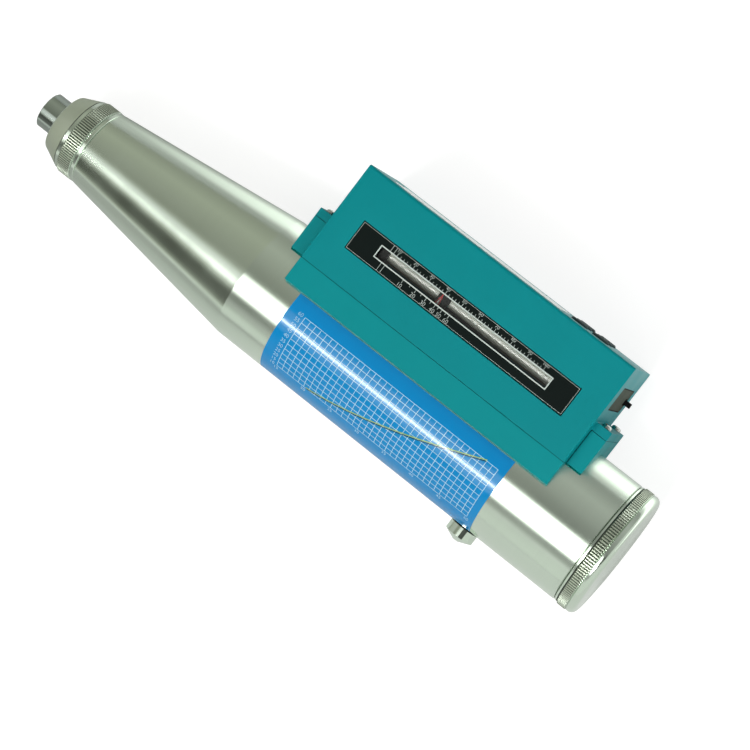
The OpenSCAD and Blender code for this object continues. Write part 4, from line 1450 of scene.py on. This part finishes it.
@dataclass
class ScalePrint:
    """The two scales, the window's frame and the border on the black plate."""

    axis: Axis
    mark_0: float = 133.0
    division: float = 0.75
    readings: tuple[int, int] = (10, 100)
    ticked: int = 2
    numbered: int = 10
    lens_margin: float = 2.0
    frame_w: float = 0.42
    border_w: float = 0.1
    border_in: float = 0.42
    tick_w: float = 0.14
    tick_short: float = 0.85
    tick_long: float = 1.35
    digit_h: float = 1.3
    digit_gap: float = 0.15
    strength_h: float = 1.5
    strength_drop: float = 0.95
    strength_marks: tuple[float, ...] = (147.7, 153.7, 158.5, 162.6, 165.7, 169.0)
    strength_halves: tuple[float, ...] = (151.0, 156.2, 160.6, 164.1, 167.5)
    guide_lines: Pair = (137.45, 138.98)

    def build(self) -> Piece:
        """Prints the plate.

        Returns:
            The print.
        """
        low, high = self.axis.place_of("scale_plate")
        lens_low, lens_high = self.axis.place_of("window_lens")
        face = high.z
        # The lens reaches past the window on every side.
        left, right = lens_low.x + self.lens_margin, lens_high.x - self.lens_margin
        bottom, top = lens_low.y + self.lens_margin, lens_high.y - self.lens_margin
        half = self.frame_w / 2
        inset = self.border_in
        layer = ThinLayer("scale_print", lambda u, v, height: self.axis.point(u, v, face + height))
        layer.frame((left - half, bottom - half), (right + half, top + half), self.frame_w)
        layer.frame((low.x + inset, low.y + inset), (high.x - inset, high.y - inset), self.border_w)
        above, below = top + self.frame_w, bottom - self.frame_w
        for reading in range(self.readings[0], self.readings[1] + 1, self.ticked):
            x = self.mark_0 + self.division * reading
            is_long = reading % self.numbered == 0
            length = self.tick_long if is_long else self.tick_short
            layer.line([(x, above), (x, above + length)], self.tick_w)
            if is_long:
                middle = above + length + self.digit_gap + self.digit_h / 2
                layer.number(str(reading), (x, middle), self.digit_h)
        for x in self.guide_lines:
            layer.line([(x, above), (x, high.y - inset)], self.tick_w)
            layer.line([(x, below), (x, low.y + inset)], self.tick_w)
        for i, x in enumerate(self.strength_marks):
            layer.line([(x, below), (x, below - self.tick_long)], self.tick_w)
            middle = below - self.tick_long - self.strength_drop
            layer.number(str(10 * (i + 1)), (x, middle), self.strength_h)
        for x in self.strength_halves:
            layer.line([(x, below), (x, below - self.tick_short)], self.tick_w)
        return layer.build("scale_black")


@dataclass
class Index:
    """The pointer's index: a red arrowhead of two legs with a bright middle."""

    axis: Axis
    leg_w: float = 0.62
    notch: float = 1.3
    tip_half: float = 0.12
    gap: float = 0.03
    middle_share: float = 0.8

    def build(self, finishes: Finishes) -> list[Piece]:
        """Makes the arrowhead and its bright middle.

        Args:
            finishes: the object's finishes.

        Returns:
            The two pieces, which ride on the pointer.
        """
        low, high = self.axis.place_of("index_mark")
        middle = (low.x + high.x) / 2
        left, right, notch = low.x + self.leg_w, high.x - self.leg_w, high.y - self.notch
        rise = OUT * (high.z - low.z) * MM
        legs = ((low.x, low.y), (middle - self.tip_half, high.y), (middle + self.tip_half, high.y),
                (high.x, low.y), (right, low.y), (middle, notch), (left, low.y))
        inner = ((left + self.gap, low.y), (middle, notch - 2 * self.gap), (right - self.gap, low.y))
        arrow, fill = [prism(name, [self.axis.point(x, y, low.z) for x, y in corners], height)
                       for name, corners, height in (("index_arrow", legs, rise),
                                                     ("index_middle", inner, rise * self.middle_share))]
        settle(arrow, "pointer", "index_red", "index_mark")
        settle(fill, "pointer", "index_red")
        return [finishes.dress(arrow, "red_lacquer"), finishes.dress(fill, "zinc_plated_steel")]


@dataclass
class EarScrews:
    """Four pan head screws with a cross recess, two in each ear."""

    axis: Axis
    head_r: float = 1.95
    head_h: float = 1.4
    head_edge: float = 0.1
    head_draft: float = 0.02
    flank_h: float = 0.45
    dome_power: float = 0.6
    dome_steps: int = 6
    shank_r: float = 1.0
    tip_edge: float = 0.3
    tip_len: float = 0.4
    recess_w: float = 0.5
    recess_len: float = 2.1
    recess_depth: float = 0.7
    tool_over: float = 0.1
    sides: int = 40
    sharp_degrees: float = 35.0

    def build(self) -> Piece:
        """Makes the four screws as one piece.

        Returns:
            The screws, which stand for the CAD screws.
        """
        low, high = self.axis.place_of("ear_screws")
        points: list[Vector] = []
        faces: list[tuple[int, ...]] = []
        for x in (low.x + self.head_r, high.x - self.head_r):
            for z in (low.z + self.head_r, high.z - self.head_r):
                shell = self.screw(x, high.y - self.head_h, z, low.y)
                start = len(points)
                points += [vertex.co.copy() for vertex in shell.data.vertices]
                faces += [tuple(start + i for i in polygon.vertices) for polygon in shell.data.polygons]
                bpy.data.objects.remove(shell)
        screws = mesh_piece("ear_screws_pan_head", points, faces, self.sharp_degrees)
        return settle(screws, "housing", "steel_screw", "ear_screws")

    def screw(self, x: float, seat: float, z: float, tip: float) -> Piece:
        """Turns one screw and cuts its recess.

        Args:
            x: its place along the hammer.
            seat: the height of the underside of its head.
            z: its place across the case.
            tip: the height of its end.

        Returns:
            The screw.
        """
        flank, top = seat + self.flank_h, seat + self.head_h
        turns = [math.pi / 2 * i / self.dome_steps for i in range(1, self.dome_steps)]
        dome = [(flank + (top - flank) * math.sin(turn), self.head_r * math.cos(turn) ** self.dome_power)
                for turn in turns]
        stations = rings((tip, 0.0), (tip, self.shank_r - self.tip_edge), (tip + self.tip_len, self.shank_r),
                         (seat, self.shank_r), (seat, self.head_r - self.head_edge),
                         (seat + self.head_edge, self.head_r), (flank, self.head_r - self.head_draft), *dome,
                         (top, 0.0))
        place = self.axis.own((x, 0.0, z), UP, ALONG, OUT)
        screw = turned_piece("screw", place, stations, self.sides)
        tools = []
        for long_x, long_z in ((self.recess_len, self.recess_w), (self.recess_w, self.recess_len)):
            corners = [self.axis.point(x + s * long_x / 2, top + self.tool_over, z + t * long_z / 2)
                       for s, t in ((-1, -1), (1, -1), (1, 1), (-1, 1))]
            tools.append(prism("recess", corners, UP * (-(self.recess_depth + self.tool_over) * MM)))
        return cut(screw, tools, self.sharp_degrees)


@dataclass
class Seals:
    """Thin black strips of painted shade: one in the joint of the case and its ears, and one round the end
    panel.
    """

    axis: Axis
    strip_t: float = 0.3
    strip_w: float = 0.8
    sunk: float = 0.04
    case_gap: float = 0.1
    ear_z: float = 20.3
    corner_t: float = 0.25
    corner_from: float = 0.2
    panel_w: float = 0.5
    panel_t: float = 0.36
    panel_back: float = 0.3
    panel_round: float = 1.3
    panel_steps: int = 6
    longest: float = 20.0

    def level(self, y: float) -> Place:
        """The places on a joint at a height, by X and Z."""
        return lambda u, v, height: self.axis.point(u, y - self.strip_t / 2 + height, v)

    def upright(self, x: float) -> Place:
        """The places on a wall that faces the rear end, by Y and Z."""
        return lambda u, v, height: self.axis.point(x + height, u, v)

    def panel_outline(self) -> list[Pair]:
        """Gives the end panel's outline with its round corners, closed.

        Returns:
            Its corners, by Y and Z.
        """
        low, high = self.axis.place_of("end_panel")
        middle, half = (low + high) / 2, (high - low) / 2
        reach_y, reach_z = half.y - self.panel_round, half.z - self.panel_round
        outline = []
        for quarter, (way_y, way_z) in enumerate(((1, 1), (-1, 1), (-1, -1), (1, -1))):
            for i in range(self.panel_steps + 1):
                turn = math.radians(90 * (quarter + i / self.panel_steps))
                outline.append((middle.y + way_y * reach_y + self.panel_round * math.cos(turn),
                                middle.z + way_z * reach_z + self.panel_round * math.sin(turn)))
        return outline + outline[:1]

    def build(self) -> list[Piece]:
        """Makes the strips of painted shade.

        Returns:
            The pieces.
        """
        low, high = self.axis.place_of("case_cover")
        ear_top = self.axis.place_of("case_saddle")[1].y
        panel = self.axis.place_of("end_panel")[1].x
        rear = panel + self.case_gap
        front = low.x + high.x - rear
        inset = self.sunk + self.strip_w / 2
        # These black strips are painted shade: they stand for the shade in the case's joint gaps, in the
        # ears' corners and round the end panel.
        joint = ThinLayer("case_joint_seal", self.level(low.y), self.strip_t)
        joint.frame((front + inset, low.z + inset), (rear - inset, high.z - inset), self.strip_w)
        ears = ThinLayer("ear_joint_seals", self.level(ear_top), self.strip_t)
        for low_x, high_x in ((low.x, front), (rear, high.x)):
            ears.frame((low_x + inset, inset - self.ear_z), (high_x - inset, self.ear_z - inset),
                       self.strip_w)
        corners = ThinLayer("ear_corner_seals", self.upright(rear), self.corner_t)
        for z in (-self.ear_z, self.ear_z):
            corners.line([(low.y + self.corner_from, z), (ear_top, z)], self.strip_t, self.longest)
        edge = ThinLayer("end_panel_gasket", self.upright(panel - self.panel_back), self.panel_t)
        edge.line(self.panel_outline(), self.panel_w, self.longest)
        return [layer.build("rubber_grey") for layer in (joint, ears, corners, edge)]


@dataclass
class Spring:
    """A coil spring between two bodies, wound inside its CAD node's box."""

    node: str
    wire: float
    turns: int
    fixed: str
    moving: str
    along: int = 0
    moving_end_high: bool = True
    sides: int = 10
    steps: int = 24
    ground: float = 0.4

    def build(self) -> Piece:
        """Winds the spring inside its CAD node's box.

        Returns:
            The spring, which stands for its CAD node.
        """
        low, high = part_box(self.node)
        across, other = [i for i in range(3) if i != self.along]
        centre = (low + high) / 2
        thick = self.wire / 2 * MM
        radius = (high[other] - low[other]) / 2 - thick
        length = high[self.along] - low[self.along] - 2 * thick
        count = self.turns * self.steps
        points: list[Vector] = []
        for i in range(count + 1):
            # The first and last turn lie flat, as a ground spring's do.
            wound = (i / count * (self.turns + 2 * self.ground) - self.ground) / self.turns
            rise = low[self.along] + thick + length * min(1.0, max(0.0, wound))
            turn = 2 * math.pi * i / self.steps
            for k in range(self.sides):
                around = 2 * math.pi * k / self.sides
                reach = radius + thick * math.cos(around)
                spot = Vector(centre)
                spot[self.along] = rise + thick * math.sin(around)
                spot[across] += reach * math.cos(turn)
                spot[other] += reach * math.sin(turn)
                points.append(spot)
        faces = [tuple(range(self.sides)), tuple(range(count * self.sides, (count + 1) * self.sides))]
        for i in range(count):
            for k in range(self.sides):
                a = i * self.sides + k
                b = i * self.sides + (k + 1) % self.sides
                faces.append((a, b, b + self.sides, a + self.sides))
        spring = mesh_piece(f"{self.node}_wound", points, faces)
        if self.fixed == self.moving:
            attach(spring, self.fixed)
        else:
            start, end = Vector(centre), Vector(centre)
            start[self.along] = low[self.along]
            end[self.along] = high[self.along]
            if not self.moving_end_high:
                start, end = end, start
            tuple(start)
            tuple(end)
            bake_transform(spring)
        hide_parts(self.node)
        return spring


SPRINGS = (
    Spring("impact_spring", 1.6, 16, "housing", "hammer"),
    Spring("compression_spring", 2.2, 7, "housing", "carriage", moving_end_high=False),
    Spring("buffer_spring", 1.0, 5, "carriage", "carriage"),
    Spring("pawl_spring", 0.5, 5, "carriage", "pawl"),
    Spring("button_spring", 0.45, 3, "housing", "button", along=1, moving_end_high=False),
)


# The CAD nodes that have each finish. The six keys aren't named here and get KEY_FINISH.
CAD_FINISHES = {
    "ground_steel": ("plunger", "guide_rod", "pawl_pin", "lock_pin"),
    "bead_blasted_rod": ("pointer_rod",),
    "spring_steel": ("pointer_leaf", "buffer_spring", "impact_spring", "compression_spring", "pawl_spring",
                     "button_spring"),
    "blackened_steel": ("rod_nut", "pawl", "trip_screw", "lock_nut"),
    "hammer_steel": ("hammer_mass",),
    "milled_aluminium": ("guide_flange", "spring_sleeve", "button_bush"),
    "turned_anodised_aluminium": ("housing",),
    "fine_turned_aluminium": ("front_cap", "rear_cap", "push_button"),
    "wool_felt": ("felt_ring",),
    "brass": ("two_part_ring",),
    "laminated_label_film": ("chart_label",),
    "satin_enamel_cover": ("case_cover",),
    "satin_enamel_saddle": ("case_saddle",),
    "zinc_plated_steel": ("saddle_screws", "ear_screws", "board_screws"),
    "black_anodised_plate": ("scale_plate",),
    "clear_acrylic": ("window_lens",),
    "smoked_acrylic": ("display_glass",),
    "black_moulded_nylon": ("rod_brackets", "pointer_slider", "power_switch", "switch_lever"),
    "red_lacquer": ("index_mark",),
    "circuit_board": ("sensor_board", "main_board"),
    "liquid_crystal_panel": ("display_module",),
    "shrink_film_wrap": ("battery",),
    "dark_sheet_panel": ("end_panel",),
    "silicone_rubber": ("key_mat",),
}
KEY_FINISH = "dark_rubber_keys"
CAP_FINISHES = ("fine_turned_aluminium", "shaded_knurl_groove", "satin_turned_aluminium")


def main() -> None:
    """Builds the studio, then every sub-assembly in order."""
    axis = Axis.from_frame()
    finishes = Finishes().build()
    Studio(axis, finishes).build()
    finish_of = {node: name for name, nodes in CAD_FINISHES.items() for node in nodes}
    for node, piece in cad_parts.items():
        finishes.dress(piece, finish_of.get(node, KEY_FINISH))
    assemblies = (
        (FrontCap(axis), CAP_FINISHES), (RearCap(axis), CAP_FINISHES),
        (Tube(axis), ("turned_anodised_aluminium",)), (Plunger(axis), ("ground_steel",)),
        (PushButton(axis), ("polished_turned_button",)), (PointerRod(axis), ("bead_blasted_rod",)),
        (BevelledShell("case_cover", "case_teal"), ("satin_enamel_cover",)),
        (BevelledShell("case_saddle", "saddle_teal"), ("satin_enamel_saddle",)),
        (EarScrews(axis), ("zinc_plated_steel",)), (ScalePrint(axis), ("silver_ink",)),
    )
    pieces = [finishes.dress(assembly.build(), *names) for assembly, names in assemblies]
    pieces += [finishes.dress(piece, "black_rubber_seal") for piece in Seals(axis).build()]
    pieces += [finishes.dress(spring.build(), "spring_steel") for spring in SPRINGS]
    pieces += ChartPrint(axis).build(finishes)
    pieces += Index(axis).build(finishes)
    for piece in pieces:
        log.info("made %s, %d faces", piece.name, len(piece.data.polygons))


if __name__ == "__main__":
    main()
